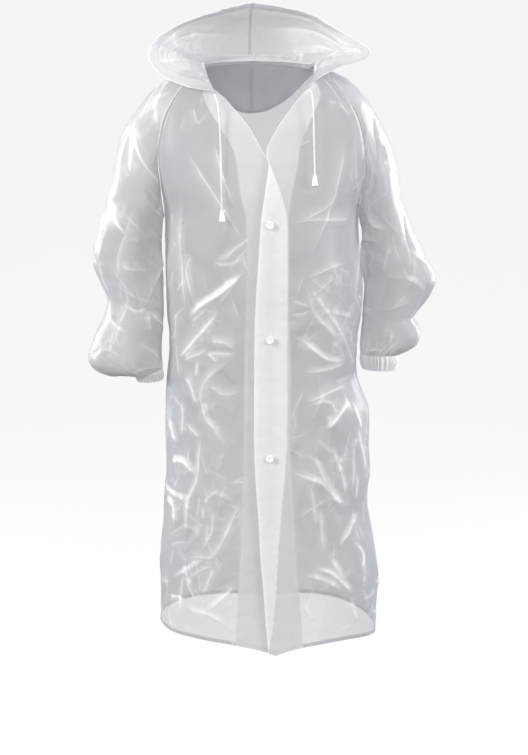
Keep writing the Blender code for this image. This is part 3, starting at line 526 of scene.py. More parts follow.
def sleeve_base(side):
    """A sleeve's smooth form, from the armhole seam to the cuff."""
    rows, count = SLEEVE_SIZE
    mirror = MIRROR[side]
    first = armhole_ring(count, mirror)
    rings = arm_rings(ARM[side], count, mirror)
    out, up = SHOULDER_BULGE
    swell = np.maximum(0, np.cos(np.linspace(0, 2 * math.pi, count, endpoint=False)))[:, None]
    keys = [first]
    for share in (0.25, 0.5, 0.75):
        bulge = 4 * share * (1 - share) * swell * [out * mirror, 0, up]
        keys.append(first + (rings[0] - first) * share + bulge)
    keys = np.array(keys + list(rings))
    return spline(keys, even_places(keys, rows))


def hood_columns(side, count):
    """Lines from the neck seam to the hood's mouth, as (columns, 9, 3)."""
    neck, brim = smooth_line(HOOD_NECK, count), smooth_line(BRIM[side], count)
    outward = neck * [1, 1, 0]
    outward /= np.linalg.norm(outward, axis=1, keepdims=True)
    hang = np.clip(outward[:, 1:2], 0, None) ** POUCH_FADE
    keys = []
    for row in POUCH:
        straight = neck + (brim - neck) * row.along + (outward * 0.5 + [0, 0, 1]) * row.lift
        pouch = neck + outward * row.out + [0, 0, row.up]
        keys.append(straight + (pouch - straight) * hang)
    keys = np.stack(keys + [brim], axis=1)
    keys[..., 0] *= MIRROR[side]
    return leaned(keys)


def hood_base(side, columns, rows, casing=False):
    """The hood half, or its edge casing, with its rows across and its columns from throat to back."""
    made = []
    for keys in hood_columns(side, columns):
        fine = spline(keys, np.linspace(0, len(keys) - 1, 240))
        along = along_of(fine)
        edge = max(along[-1] * 0.25, along[-1] - CASING_WIDTH)
        ends = (edge, along[-1]) if casing else (0, edge)
        places = np.linspace(*ends, rows)
        made.append(np.stack([np.interp(places, along, fine[:, k]) for k in range(3)], axis=1))
    return np.array(made).transpose(1, 0, 2)


# ---------------------------------------------------------------- relief


def normals_of(base, ring, middle):
    """Unit normals of a grid of points, pointing away from middle on the whole."""
    across = np.gradient(base, axis=1)
    if ring:
        across = (np.roll(base, -1, axis=1) - np.roll(base, 1, axis=1)) / 2
    normal = np.cross(across, np.gradient(base, axis=0))
    normal /= np.maximum(np.linalg.norm(normal, axis=2, keepdims=True), 1e-12)
    return normal if (normal * (base - middle)).sum() > 0 else -normal


class Film:
    """One sheet of film: its smooth form, how far each point stands off it, and how whitened it is, partly stress
    whitening and partly painted highlight and painted light.
    """

    def __init__(self, base, middle, ring=False, lift=0):
        self.base = base
        self.ring = ring
        self.normal = normals_of(base, ring, middle)
        self.relief = np.zeros(base.shape[:2])
        self.white = np.zeros(base.shape[:2])
        self.lift = lift

    def points(self, moved=0.0):
        return self.base + self.lift + self.normal * (self.relief + moved)[..., None]


def smooth_step(x):
    x = np.clip(x, 0, 1)
    return x * x * (3 - 2 * x)


def on_film(film, path, behind=False):
    """The points of the film that a path of (x, z) runs over, on its front or behind."""
    wanted = film.normal[..., 1] > -0.2 if behind else film.normal[..., 1] < 0.2
    points = film.base[wanted]
    return np.array([points[np.argmin(((points[:, [0, 2]] - spot) ** 2).sum(axis=1))] for spot in path])


def add_crease(film, crease, route, strength=1.0, whiten=1.0):
    """Raises a fold along a route of points, a steep flank and a long one dying out at both ends; its crest and long
    flank are painted whiter, partly stress whitening and partly painted highlight.
    """
    length = along_of(route)[-1]
    if length < 0.006:
        return
    line = smooth_line(route, max(6, round(length / 0.004)))
    steep, gentle = 0.75 * min(crease.near, crease.far), 1.4 * max(crease.near, crease.far)
    reach = 4 * gentle
    inside = ((film.base > line.min(0) - reach) & (film.base < line.max(0) + reach)).all(axis=2)
    points, normal = film.base[inside], film.normal[inside]
    best = np.full(len(points), np.inf)
    place, sideways = np.zeros(len(points)), np.zeros(len(points))
    for k, (a, b) in enumerate(zip(line, line[1:])):
        step = b - a
        t = np.clip(((points - a) @ step) / (step @ step), 0, 1)
        off = points - a - t[:, None] * step
        far = np.linalg.norm(off, axis=1)
        closer = far < best
        best = np.where(closer, far, best)
        place = np.where(closer, (k + t) / (len(line) - 1), place)
        side = (np.cross(step, off) * normal).sum(axis=1)
        sideways = np.where(closer, side, sideways)
    slope = (sideways > 0) == (crease.near > crease.far)
    width = np.where(slope, gentle, steep)
    crest = np.exp(-(np.sqrt(best**2 + CREST_ROUNDING**2) - CREST_ROUNDING) / width)
    fade = smooth_step(place / 0.3) * smooth_step((1 - place) / 0.3)
    film.relief[inside] += crest * fade * crease.height * strength
    # Painted highlight: the crest line and the long flank are painted whiter; along the crest this also stands for the
    # film's stress whitening.
    white = np.maximum(np.exp(-((best / CREASE_WHITE_WIDTH) ** 2)), FLANK_PAINTED_HIGHLIGHT * slope * crest)
    film.white[inside] = np.maximum(film.white[inside], white * fade * whiten)


# Width of the whitened crest line, and how much painted highlight the long flank gets
CREST_ROUNDING = 0.0007
CREASE_WHITE_WIDTH = 0.0020
FLANK_PAINTED_HIGHLIGHT = 0.5


def on_grid(film, spots):
    """Points of the film at fractional (row, column) places of its grid."""
    rows, columns = film.base.shape[:2]
    spots = np.stack([np.clip(spots[:, 0], 0, rows - 1.001), spots[:, 1]], axis=1)
    if not film.ring:
        spots[:, 1] = np.clip(spots[:, 1], 0, columns - 1.001)
    low = np.floor(spots).astype(int)
    t = (spots - low)[:, :, None]
    a, b = film.base[low[:, 0], low[:, 1] % columns], film.base[low[:, 0] + 1, low[:, 1] % columns]
    c = film.base[low[:, 0], (low[:, 1] + 1) % columns]
    return a + (b - a) * t[:, 0] + (c - a) * t[:, 1]


def facet_noise(points, size, seed):
    """Noise from -1 to 1 made of flat facets about this size, which meet in sharp folds."""
    random = np.random.default_rng(seed)
    table = random.uniform(-1, 1, (16, 16, 16))
    axes = np.linalg.qr(random.normal(size=(3, 3)))[0]
    bend = np.stack([soft_noise(points, 2.2 * size, seed + k) for k in range(3)], axis=-1)
    places = (points @ axes) / size + 0.45 * bend
    cell = np.floor(places).astype(int)
    t = places - cell
    order = np.argsort(-t, axis=-1)
    t = np.take_along_axis(t, order, axis=-1)
    total = (1 - t[..., 0]) * table[tuple((cell % 16)[..., k] for k in range(3))]
    for k in range(3):
        cell = cell + np.eye(3, dtype=int)[order[..., k]]
        share = t[..., k] - (t[..., k + 1] if k < 2 else 0)
        total += share * table[tuple((cell % 16)[..., j] for j in range(3))]
    return total


def add_facets(film, size, height, seed, turn=(1, 1, 1), share=1.0):
    """Breaks the film into facets, patchily, as in film that was folded small and opened out."""
    patch = 0.25 + 0.75 * smooth_step(0.5 + 1.1 * soft_noise(film.base, 2.6 * size, seed + 9))
    film.relief += facet_noise(film.base * turn, size, seed) * height * patch * share


def softened(values, ring):
    """Each value averaged with its neighbours in the grid."""
    values = values.copy()
    values[1:-1] = (values[:-2] + 2 * values[1:-1] + values[2:]) / 4
    if ring:
        return (np.roll(values, 1, axis=1) + 2 * values + np.roll(values, -1, axis=1)) / 4
    values[:, 1:-1] = (values[:, :-2] + 2 * values[:, 1:-1] + values[:, 2:]) / 4
    return values


def finish_folds(film):
    """Rounds the folds to the fineness of the grid and whitens the film wherever it bends sharply, partly as stress
    whitening and partly as a painted highlight on the sharp bends.
    """
    film.relief = softened(film.relief, film.ring)
    relief = film.relief
    bend = np.zeros_like(relief)
    bend[1:-1] += np.abs(relief[2:] + relief[:-2] - 2 * relief[1:-1])
    bend[:, 1:-1] += np.abs(relief[:, 2:] + relief[:, :-2] - 2 * relief[:, 1:-1])
    bend = softened(bend, film.ring)
    # Painted highlight along sharp bends, which also stands for the film's stress whitening there.
    film.white = np.maximum(film.white, 0.9 * np.clip((bend - BEND_FREE) / BEND_FULL, 0, 1))


BEND_FREE = 0.00008
BEND_FULL = 0.0008


def add_fine_creases(film, count, seed, share=None, upright=0.0):
    """Scatters short thin creases, many of them forking off the end of the one before."""
    random = np.random.default_rng(seed)
    rows, columns = film.base.shape[:2]
    cell = [along_of(film.base[:, columns // 2])[-1] / rows, along_of(film.base[rows // 2])[-1] / columns]
    start, heading = None, 0.0
    for _ in range(count):
        if start is None or random.random() < 0.5:
            start = random.uniform(0, 1, 2) * (rows - 1, columns - 1)
            heading = random.uniform(0, 2 * math.pi)
            heading -= upright * math.sin(2 * heading) / 2
        else:
            heading += random.choice((-1, 1)) * random.uniform(0.5, 1.3)
        place = np.clip(start.astype(int), 0, (rows - 1, columns - 1))
        if share is not None and random.random() > share[tuple(place)]:
            start = None
            continue
        size = 0.02 + min(0.13, 0.018 * math.exp(random.normal(0.3, 0.7)))
        turns = heading + random.uniform(-0.3, 0.3) * np.linspace(0, 1, 6)
        steps = np.stack([np.cos(turns), np.sin(turns)], axis=1) * size / 6 / cell
        spots = start + np.concatenate([[[0, 0]], np.cumsum(steps, axis=0)])
        height = random.uniform(0.3, 1.0) * 0.0012 * math.sqrt(size / 0.03) * random.choice((-1, 1, 1))
        crease = Crease(height, random.uniform(0.004, 0.009), random.uniform(0.002, 0.004), None)
        add_crease(film, crease, on_grid(film, spots), 1.0, random.uniform(0.3, 1.0) * min(0.65, size / 0.09))
        start = spots[-1]
        if not (0 < start[0] < rows - 1 and 0 < start[1] < columns - 1):
            start = None


def soft_noise(points, size, seed):
    """Smooth noise from -1 to 1 with lumps of about this size."""
    table = np.random.default_rng(seed).uniform(-1, 1, (16, 16, 16))
    cell = np.floor(points / size).astype(int)
    t = points / size - cell
    t = t * t * (3 - 2 * t)
    total = np.zeros(points.shape[:-1])
    for corner in np.ndindex(2, 2, 2):
        weight = np.prod(np.where(corner, t, 1 - t), axis=-1)
        total += weight * table[tuple(((cell + corner) % 16)[..., k] for k in range(3))]
    return total


def add_swell(film, size, height, seed, turn=(1, 1, 1), share=1.0):
    """Long soft waves in the film."""
    film.relief += soft_noise(film.base * turn, size, seed) * height * share


# ---------------------------------------------------------------- materials


def node(tree, kind, **inputs):
    made = tree.nodes.new(kind)
    for name, value in inputs.items():
        made.inputs[name.replace("_", " ")].default_value = value
    return made


def new_material(name, colour, roughness):
    """A material with a Principled shader, object coordinates and a bump chain."""
    material = bpy.data.materials.new(name)
    material.use_nodes = True
    tree = material.node_tree
    shader = tree.nodes["Principled BSDF"]
    shader.inputs["Base Color"].default_value = (*colour, 1)
    shader.inputs["Roughness"].default_value = roughness
    return material, tree, shader, tree.nodes.new("ShaderNodeTexCoord").outputs["Object"]


def ramp_to(tree, source, low, high, socket, frm=(0.3, 0.7)):
    """Spreads a 0 to 1 value between two others and gives it to a socket."""
    spread = node(tree, "ShaderNodeMapRange", From_Min=frm[0], From_Max=frm[1], To_Min=low, To_Max=high)
    tree.links.new(source, spread.inputs["Value"])
    tree.links.new(spread.outputs["Result"], socket)


def film_material():
    """Frosted film: half see-through, satin, whiter and more solid along its creases; the whiteness is partly stress
    whitening and partly painted highlight and painted light.
    """
    material, tree, shader, place = new_material("frosted_film", FILM_COLOUR, 0.3)
    links = tree.links
    shader.inputs["IOR"].default_value = 1.5
    shader.inputs["Specular IOR Level"].default_value = 0.42
    shader.inputs["Sheen Weight"].default_value = 0.12
    shader.inputs["Sheen Roughness"].default_value = 0.35
    shader.inputs["Coat Weight"].default_value = 0.10
    shader.inputs["Coat Roughness"].default_value = 0.22

    cloud = node(tree, "ShaderNodeTexNoise", Scale=9.0, Detail=4.0, Roughness=0.6)
    grain = node(tree, "ShaderNodeTexNoise", Scale=1400.0, Detail=2.0, Roughness=0.5)
    ripple = node(tree, "ShaderNodeTexNoise", Scale=160.0, Detail=3.0, Roughness=0.55)
    for texture in (cloud, grain, ripple):
        links.new(place, texture.inputs["Vector"])
    ramp_to(tree, cloud.outputs["Fac"], 0.37, 0.52, shader.inputs["Roughness"])

    # The white attribute holds stress whitening, painted highlights along creases, folds and edges, and painted light
    # on the front band; it lightens the colour and thickens the film.
    white = tree.nodes.new("ShaderNodeAttribute")
    white.attribute_name = "white"
    tint = tree.nodes.new("ShaderNodeMix")
    tint.data_type = "RGBA"
    tint.inputs["A"].default_value = (*FILM_COLOUR, 1)
    tint.inputs["B"].default_value = (0.97, 0.975, 0.98, 1)
    links.new(white.outputs["Fac"], tint.inputs["Factor"])
    links.new(tint.outputs["Result"], shader.inputs["Base Color"])

    glance = node(tree, "ShaderNodeLayerWeight", Blend=0.32)
    solid = node(tree, "ShaderNodeMath")
    solid.operation = "MULTIPLY_ADD"
    solid.inputs[1].default_value = 0.42
    solid.inputs[2].default_value = 0.45
    links.new(glance.outputs["Facing"], solid.inputs[0])
    crest = node(tree, "ShaderNodeMath")
    crest.operation = "MULTIPLY_ADD"
    crest.use_clamp = True
    crest.inputs[1].default_value = 0.42
    links.new(white.outputs["Fac"], crest.inputs[0])
    links.new(solid.outputs[0], crest.inputs[2])
    links.new(crest.outputs[0], shader.inputs["Alpha"])

    fine = node(tree, "ShaderNodeBump", Strength=0.10, Distance=0.0002)
    links.new(grain.outputs["Fac"], fine.inputs["Height"])
    soft = node(tree, "ShaderNodeBump", Strength=0.22, Distance=0.0008)
    links.new(ripple.outputs["Fac"], soft.inputs["Height"])
    links.new(fine.outputs["Normal"], soft.inputs["Normal"])
    bent = node(tree, "ShaderNodeTexNoise", Scale=14.0, Detail=2.0)
    links.new(place, bent.inputs["Vector"])
    moved = tree.nodes.new("ShaderNodeMix")
    moved.data_type = "RGBA"
    moved.blend_type = "ADD"
    moved.inputs["Factor"].default_value = 0.05
    links.new(place, moved.inputs["A"])
    links.new(bent.outputs["Color"], moved.inputs["B"])
    crinkle = node(tree, "ShaderNodeTexVoronoi", Scale=42.0)
    crinkle.feature = "F1"
    crinkle.distance = "MANHATTAN"
    links.new(moved.outputs["Result"], crinkle.inputs["Vector"])
    sharp = node(tree, "ShaderNodeBump", Strength=0.30, Distance=0.0016)
    links.new(crinkle.outputs["Distance"], sharp.inputs["Height"])
    links.new(soft.outputs["Normal"], sharp.inputs["Normal"])
    links.new(sharp.outputs["Normal"], shader.inputs["Normal"])
    return material


def plastic_material(name, colour):
    """White moulded plastic, with the faint unevenness of its surface."""
    material, tree, shader, place = new_material(name, colour, 0.3)
    shader.inputs["Coat Weight"].default_value = 0.3
    shader.inputs["Coat Roughness"].default_value = 0.1
    shader.inputs["Subsurface Weight"].default_value = 0.12
    shader.inputs["Subsurface Radius"].default_value = (0.003, 0.003, 0.003)
    cloud = node(tree, "ShaderNodeTexNoise", Scale=260.0, Detail=3.0)
    tree.links.new(place, cloud.inputs["Vector"])
    ramp_to(tree, cloud.outputs["Fac"], 0.24, 0.38, shader.inputs["Roughness"])
    bump = node(tree, "ShaderNodeBump", Strength=0.15, Distance=0.0002)
    tree.links.new(cloud.outputs["Fac"], bump.inputs["Height"])
    tree.links.new(bump.outputs["Normal"], shader.inputs["Normal"])
    return material


def cord_material():
    """White braided cord: two crossing sets of strands, with a little fuzz, painted darker between the strands as
    painted shade in the braid's grooves.
    """
    material, tree, shader, place = new_material("braided_cord", (0.92, 0.92, 0.92), 0.7)
    shader.inputs["Sheen Weight"].default_value = 0.4
    strands = []
    for name, turn in (("one", 0.9), ("two", -0.9)):
        mapping = tree.nodes.new("ShaderNodeMapping")
        mapping.inputs["Rotation"].default_value = (0, turn, turn / 2)
        wave = node(tree, "ShaderNodeTexWave", Scale=420.0, Distortion=1.0, Detail=2.0)
        tree.links.new(place, mapping.inputs["Vector"])
        tree.links.new(mapping.outputs["Vector"], wave.inputs["Vector"])
        wave.label = name
        strands.append(wave)
    braid = tree.nodes.new("ShaderNodeMath")
    braid.operation = "MAXIMUM"
    for socket, wave in zip(braid.inputs, strands):
        tree.links.new(wave.outputs["Fac"], socket)
    bump = node(tree, "ShaderNodeBump", Strength=0.6, Distance=0.0005)
    tree.links.new(braid.outputs[0], bump.inputs["Height"])
    tree.links.new(bump.outputs["Normal"], shader.inputs["Normal"])
    # Painted shade: the colour is darker between the strands, where the braid's grooves lie in shade.
    tint = tree.nodes.new("ShaderNodeMix")
    tint.data_type = "RGBA"
    tint.inputs["A"].default_value = (0.80, 0.80, 0.81, 1)
    tint.inputs["B"].default_value = (0.95, 0.95, 0.95, 1)
    tree.links.new(braid.outputs[0], tint.inputs["Factor"])
    tree.links.new(tint.outputs["Result"], shader.inputs["Base Color"])
    return material


# ---------------------------------------------------------------- making the pieces


def add_mesh(name, points, faces, material, white=None):
    mesh = bpy.data.meshes.new(name)
    mesh.from_pydata(points.tolist(), [], faces.tolist())
    mesh.shade_smooth()
    if white is not None:
        mesh.attributes.new("white", "FLOAT", "POINT").data.foreach_set("value", white.astype(np.float32))
    mesh.materials.append(material)
    piece = bpy.data.objects.new(name, mesh)
    bpy.context.scene.collection.objects.link(piece)
    return piece


def grid_faces(rows, columns, ring, first=0):
    index = np.arange(rows * columns).reshape(rows, columns) + first
    if ring:
        index = np.concatenate([index, index[:, :1]], axis=1)
    return np.stack([index[:-1, :-1], index[:-1, 1:], index[1:, 1:], index[1:, :-1]], axis=-1).reshape(-1, 4)


def add_film(name, parts, material, node_name=None):
    """One piece from several grids, each (points, white, ring), that stands for the CAD node of its name."""
    points, faces, white, first = [], [], [], 0
    for grid, whitened, ring in parts:
        faces.append(grid_faces(*grid.shape[:2], ring, first))
        points.append(grid.reshape(-1, 3))
        white.append(whitened.reshape(-1))
        first += grid.shape[0] * grid.shape[1]
    piece = add_mesh(name, np.concatenate(points), np.concatenate(faces), material, np.concatenate(white))
    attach(piece, "root")
    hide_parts(node_name or name)
    return piece


def whole(film):
    """The film's own grid."""
    return film.points(), film.white, film.ring


def strip(film, rows=slice(None), columns=slice(None), moved=0.0):
    """Part of a film again, moved off it and as white as film two layers thick: a seam or a turned hem."""
    white = np.maximum(film.white, DOUBLED_WHITE)[rows, columns]
    return film.points(moved)[rows, columns], white, film.ring and columns == slice(None)


def count_for(width, length, cells):
    """How many cells of a grid make up a width."""
    return max(2, round(width / length * cells))


def body_middle(base):
    """A line up through the body, level with each point."""
    middle = base.copy()
    middle[..., 0] = LEAN_AT_ORIGIN
    middle[..., 1] = 0
    return middle


def body_routes():
    """Every crease of the fronts and the back with the line it runs along."""
    routes = []
    for side, creases in FRONT_CREASES.items():
        base = front_base(side)[0]
        routes += [(crease, on_film(Film(base, body_middle(base)), crease.path)) for crease in creases]
    base = back_base()
    film = Film(base, body_middle(base))
    return routes + [(crease, on_film(film, crease.path, behind=True)) for crease in BACK_CREASES]


FRONT_CREASES = {"right": RIGHT_FRONT_CREASES, "left": LEFT_FRONT_CREASES}


def fold_body(film, routes, fine_count, seed, seams):
    """All the relief of a front, a facing or the back, alike where two of them meet at a seam."""
    x, z = film.base[..., 0] - LEAN_AT_ORIGIN, film.base[..., 2]
    for crease, route in routes:
        add_crease(film, crease, route, 1.2, 0.7)
    low = smooth_step((-0.26 - z) / 0.15)
    hem = smooth_step((-0.90 - z) / 0.08)
    patch = smooth_step(0.5 + 1.2 * soft_noise(film.base, 0.11, 61))
    busy = np.maximum(hem, smooth_step((np.abs(x) - 0.11) / 0.06) * low)
    add_fine_creases(film, fine_count, seed, (0.12 + 0.6 * low) * patch + 0.22 * busy, 0.5)
    add_swell(film, 0.085, 0.0040, 11, (1, 1, 0.45), low)
    flat = 1 - 0.5 * smooth_step((np.abs(x) - 0.12) / 0.05)
    add_facets(film, 0.080, 0.0110, 41, (1, 1, 0.55), (0.2 + 0.8 * low) * flat)
    add_facets(film, 0.036, 0.0038, 42, (1, 1, 0.7), (0.15 + 0.6 * low + 0.3 * hem) * flat)
    film.relief *= 1 - smooth_step((z + 0.31) / 0.06) * (1 - smooth_step(seams / 0.15))


def front_film(side, routes, to_band=False):
    """A front or its facing with its relief, whiter where the front and facing lie together and where the fronts
    overlap, partly as denser film and partly as painted light that offsets the shade the layers cast on each other.
    """
    base, lift = front_base(side, to_band)
    film = Film(base, body_middle(base), lift=lift)
    columns = base.shape[1]
    seams = np.ones(columns) if to_band else np.linspace(1, 0, columns)
    fold_body(film, routes, 60 if to_band else 430, 21 + MIRROR[side], seams)
    film.relief *= 0.15 + 0.85 * smooth_step((np.abs(base[..., 0]) - 0.035) / 0.045)
    across = (base[..., 0] - BAND_MIDDLE) / BAND_HALF
    waist = smooth_step((-0.24 - base[..., 2]) / 0.05) * smooth_step((base[..., 2] + 0.95) / 0.2)
    film.relief -= BAND_HOLLOW * np.cos(math.pi * across) * np.exp(-(across**2)) * waist
    finish_folds(film)
    out = base[..., 0] * MIRROR[side]
    band = front_base(side, True)[0][:, -1:, 0] * MIRROR[side]
    other = front_base("left" if side == "right" else "right")[0][:, :1, 0] * MIRROR[side]
    # Painted light: the band is painted whiter where the facing lies behind it and where the other front overlaps it,
    # standing for the denser film and offsetting the shade the stacked layers cast.
    faced_density_and_painted_light = np.clip((band - out) / LAYER_EDGE + 0.5, 0, 1) * FACED_DENSITY_AND_PAINTED_LIGHT
    doubled_density_and_painted_light = np.clip((other - out) / LAYER_EDGE + 0.5, 0, 1) * OVERLAP_DENSITY_AND_PAINTED_LIGHT
    film.white = np.maximum(film.white, np.maximum(faced_density_and_painted_light, doubled_density_and_painted_light))
    # Painted highlight: a thin near-white line along the front edge.
    film.white[:, 0] = 0.9
    return film


LAYER_EDGE = 0.0035
BAND_MIDDLE = 0.010
BAND_HALF = 0.026
BAND_HOLLOW = 0.0016


def add_fronts(material, routes):
    for side in ("right", "left"):
        film = front_film(side, routes)
        rows, columns = FRONT_SIZE
        seam = columns - count_for(SEAM_WIDTH, 0.25, columns)
        hem = count_for(HEM_WIDTH, 1.03, rows)
        parts = [
            whole(film),
            strip(film, slice(None, hem), slice(None), -SEAM_LIFT),
            strip(film, slice(None), slice(seam, None), -SEAM_LIFT),
        ]
        piece = add_film(f"front_{side}_film", parts, material, f"front_{side}")
        facing = front_film(side, routes, to_band=True)
        inner = strip(facing, slice(2, -8), slice(1, None), -(WALL + LAYER_GAP))
        piece = add_film(f"facing_{side}_film", [inner], material, f"facing_{side}")


def add_back(material, routes):
    base = back_base()
    film = Film(base, body_middle(base))
    across = np.linspace(0, 1, base.shape[1])
    fold_body(film, routes, 480, 22, 2 * np.minimum(across, 1 - across))
    finish_folds(film)
    hem = count_for(HEM_WIDTH, 1.03, BACK_SIZE[0])
    parts = [whole(film), strip(film, slice(None, hem), slice(None), -SEAM_LIFT)]
    piece = add_film("back_film", parts, material, "back")


def add_sleeves(material):
    for side in ("right", "left"):
        base = sleeve_base(side)
        middle = np.broadcast_to(base.mean(axis=1, keepdims=True), base.shape)
        film = Film(base, middle, ring=True)
        for crease in SLEEVE_CREASES[side]:
            add_crease(film, crease, on_film(film, crease.path), 1.15, 0.5)
            behind = [(x * 0.985, z - 0.012) for x, z in crease.path]
            add_crease(film, crease, on_film(film, behind, behind=True), 0.9, 0.5)
        rows, columns = SLEEVE_SIZE
        down = np.linspace(0, 1, rows)[:, None]
        inner = smooth_step((0.035 - np.abs(base[..., 0] - base[..., 0].min(axis=1, keepdims=True))) / 0.03)
        add_swell(film, 0.05, 0.0042, 13, (1, 1, 0.7), smooth_step(down / 0.1) * (1 - 0.6 * inner))
        worn = smooth_step(down / 0.08)
        add_fine_creases(film, 70, 23 + MIRROR[side], upright=0.3)
        add_facets(film, 0.060, 0.0052, 45 + MIRROR[side], (1, 1, 0.7), worn)
        add_facets(film, 0.028, 0.0018, 47, (1, 1, 0.8), worn)
        angle = np.linspace(0, 2 * math.pi, columns, endpoint=False)
        gathers = np.sin(27 * angle + 2.5 * np.sin(3 * angle)) * (1 + 0.4 * np.sin(5 * angle))
        film.relief += 0.0012 * gathers * smooth_step((down - 0.86) / 0.12)
        film.relief *= smooth_step(down / 0.02) * 0.9 + 0.1
        finish_folds(film)
        film.white = SLEEVE_WHITE + (1 - SLEEVE_WHITE) * film.white
        seam = count_for(SEAM_WIDTH, 0.50, rows)
        parts = [whole(film), strip(film, slice(None, seam), slice(None), SEAM_LIFT)]
        piece = add_film(f"sleeve_{side}_film", parts, material, f"sleeve_{side}")


def add_cuffs(material):
    for side in ("right", "left"):
        rows, columns = CUFF_SIZE
        keys = arm_rings(CUFF[side], columns, MIRROR[side])
        base = spline(keys, even_places(keys, rows))
        middle = np.broadcast_to(base.mean(axis=1, keepdims=True), base.shape)
        film = Film(base, middle, ring=True)
        angle = np.linspace(0, 2 * math.pi, columns, endpoint=False)
        down = np.linspace(0, 1, rows)[:, None]
        pleat = np.sin(34 * angle + 3 * np.sin(2 * angle) + 1.5 * np.sin(7 * angle))
        film.relief = 0.0011 * pleat * (0.75 + 0.5 * np.sin(math.pi * down))
        # Painted highlight: the crests of the pleats are painted lighter than the cuff's own whiter tone.
        film.white = 0.75 + np.clip(pleat, 0, 1) * np.ones_like(down) * 0.25
        outer = film.points(0.0010 * np.sin(math.pi * np.clip(down, 0.02, 0.98)))
        inner = film.points(-0.0010)[::-1]
        grid = np.concatenate([outer, inner])
        white = np.concatenate([film.white, film.white[::-1]])
        piece = add_film(f"cuff_{side}_film", [(grid, white, True)], material, f"cuff_{side}")


def hood_relief(film, side):
    """Long folds round the hood beside its mouth, soft dents inside and the gathers at the throat."""
    rows, columns = film.base.shape[:2]
    up = np.linspace(0, 1, rows)[:, None]
    back = np.linspace(0, 1, columns)[None, :]
    add_swell(film, 0.060, 0.0028, 14 + MIRROR[side], (0.5, 1, 1.6))
    add_fine_creases(film, 24, 34 + MIRROR[side])
    add_facets(film, 0.050, 0.0020, 49 + MIRROR[side], (0.7, 1, 1))
    add_facets(film, 0.024, 0.0010, 51)
    for height, level, rise, width, begin, end in HOOD_FOLDS[side]:
        line = level + rise * (back - begin)
        gap = (up - line) / width
        share = smooth_step((back - begin) / 0.15) * smooth_step((end - back) / 0.15)
        crest = np.exp(-np.abs(gap)) * share
        film.relief += height * crest
        # Painted highlight along each fold's crest, partly also standing for stress whitening of the folded film.
        film.white = np.maximum(film.white, np.exp(-((gap * 3) ** 2)) * share * 0.5)
    pucker = np.sin(95 * back + 9 * np.sin(11 * back))
    film.relief += 0.0006 * pucker * smooth_step((up - 0.9) / 0.1)
    edge = smooth_step(up / 0.05) * smooth_step((1 - up) / 0.03) * smooth_step((1 - back) / 0.04)
    film.relief *= 0.15 + 0.85 * edge
    finish_folds(film)
    film.white = HOOD_WHITE + (1 - HOOD_WHITE) * film.white


HoodFold = namedtuple("HoodFold", "height level rise width begin end")
HOOD_FOLDS = {
    "right": [
        HoodFold(0.0040, 0.86, -0.05, 0.035, 0.30, 1.00),
        HoodFold(0.0034, 0.74, 0.06, 0.040, 0.22, 0.80),
        HoodFold(-0.0034, 0.60, 0.10, 0.045, 0.35, 0.95),
        HoodFold(0.0030, 0.42, 0.16, 0.040, 0.05, 0.60),
        HoodFold(0.0036, 0.28, 0.10, 0.050, 0.55, 1.00),
    ],
    "left": [
        HoodFold(0.0042, 0.84, 0.04, 0.035, 0.25, 1.00),
        HoodFold(0.0036, 0.68, 0.12, 0.040, 0.30, 0.85),
        HoodFold(-0.0036, 0.56, 0.10, 0.045, 0.30, 0.90),
        HoodFold(0.0034, 0.38, 0.20, 0.040, 0.05, 0.60),
        HoodFold(0.0030, 0.30, 0.08, 0.050, 0.60, 1.00),
    ],
}


def add_hood(material):
    halves = []
    for side in ("right", "left"):
        base = hood_base(side, HOOD_SIZE[1], HOOD_SIZE[0])
        film = Film(base, np.array([LEAN_AT_ORIGIN, 0.03, 0.10]))
        hood_relief(film, side)
        neck = count_for(SEAM_WIDTH, 0.20, HOOD_SIZE[0])
        centre = HOOD_SIZE[1] - count_for(SEAM_WIDTH, 0.30, HOOD_SIZE[1])
        parts = [
            whole(film),
            strip(film, slice(None, neck), slice(None), -SEAM_LIFT),
        ]
        if side == "right":
            parts.append(strip(film, slice(None), slice(centre, None), -SEAM_LIFT))
        piece = add_film(f"hood_{side}_film", parts, material, f"hood_{side}")
        halves.append(hood_base(side, CASING_SIZE[1] // 2, 12, casing=True))
    right, left = halves
    base = np.concatenate([right, left[:, -2::-1]], axis=1)
    film = Film(base, np.array([LEAN_AT_ORIGIN, 0.03, 0.10]))
    rows, columns = base.shape[:2]
    across = np.linspace(0, 1, rows)[:, None]
    along = np.linspace(0, 1, columns)[None, :]
    pucker = soft_noise(base * [1, 1, 1], 0.009, 51) + 0.6 * soft_noise(base, 0.021, 52)
    film.relief = 0.0009 * pucker * (0.3 + across)
    puff = 0.0012 * np.sin(math.pi * np.clip(across, 0.02, 1) ** 0.8) ** 0.6 + 0.00025
    groove = 1 - 0.75 * np.exp(-(((across - 0.24) / 0.05) ** 2))
    outer, inner = film.points(puff * groove), film.points(-puff * groove)
    grid = np.concatenate([outer, inner[::-1]])
    # Painted highlight along the casing's outer fold at the hood's mouth, partly also the whiter turned edge; the base
    # value is the casing's doubled film.
    white = 0.42 + 0.5 * np.exp(-(((across - 1) / 0.08) ** 2)) + 0 * along
    white = np.concatenate([white, white[::-1]])
    piece = add_film("hood_casing_film", [(grid, white, False)], material, "hood_casing")


# ---------------------------------------------------------------- hard pieces and cords


def turned(name, profile, place, axis, material, segments=48):
    """A turned piece: profile is (radius, height) pairs, swept round axis from place."""
    angle = np.linspace(0, 2 * math.pi, segments, endpoint=False)
    rings = [np.column_stack([r * np.cos(angle), r * np.sin(angle), np.full(segments, h)]) for r, h in profile]
    frame_of = np.array(Vector(axis).to_track_quat("Z", "Y").to_matrix())
    points = np.concatenate(rings) @ frame_of.T + np.array(place)
    faces = grid_faces(len(profile), segments, True)
    piece = add_mesh(name, points, faces, material)
    return piece


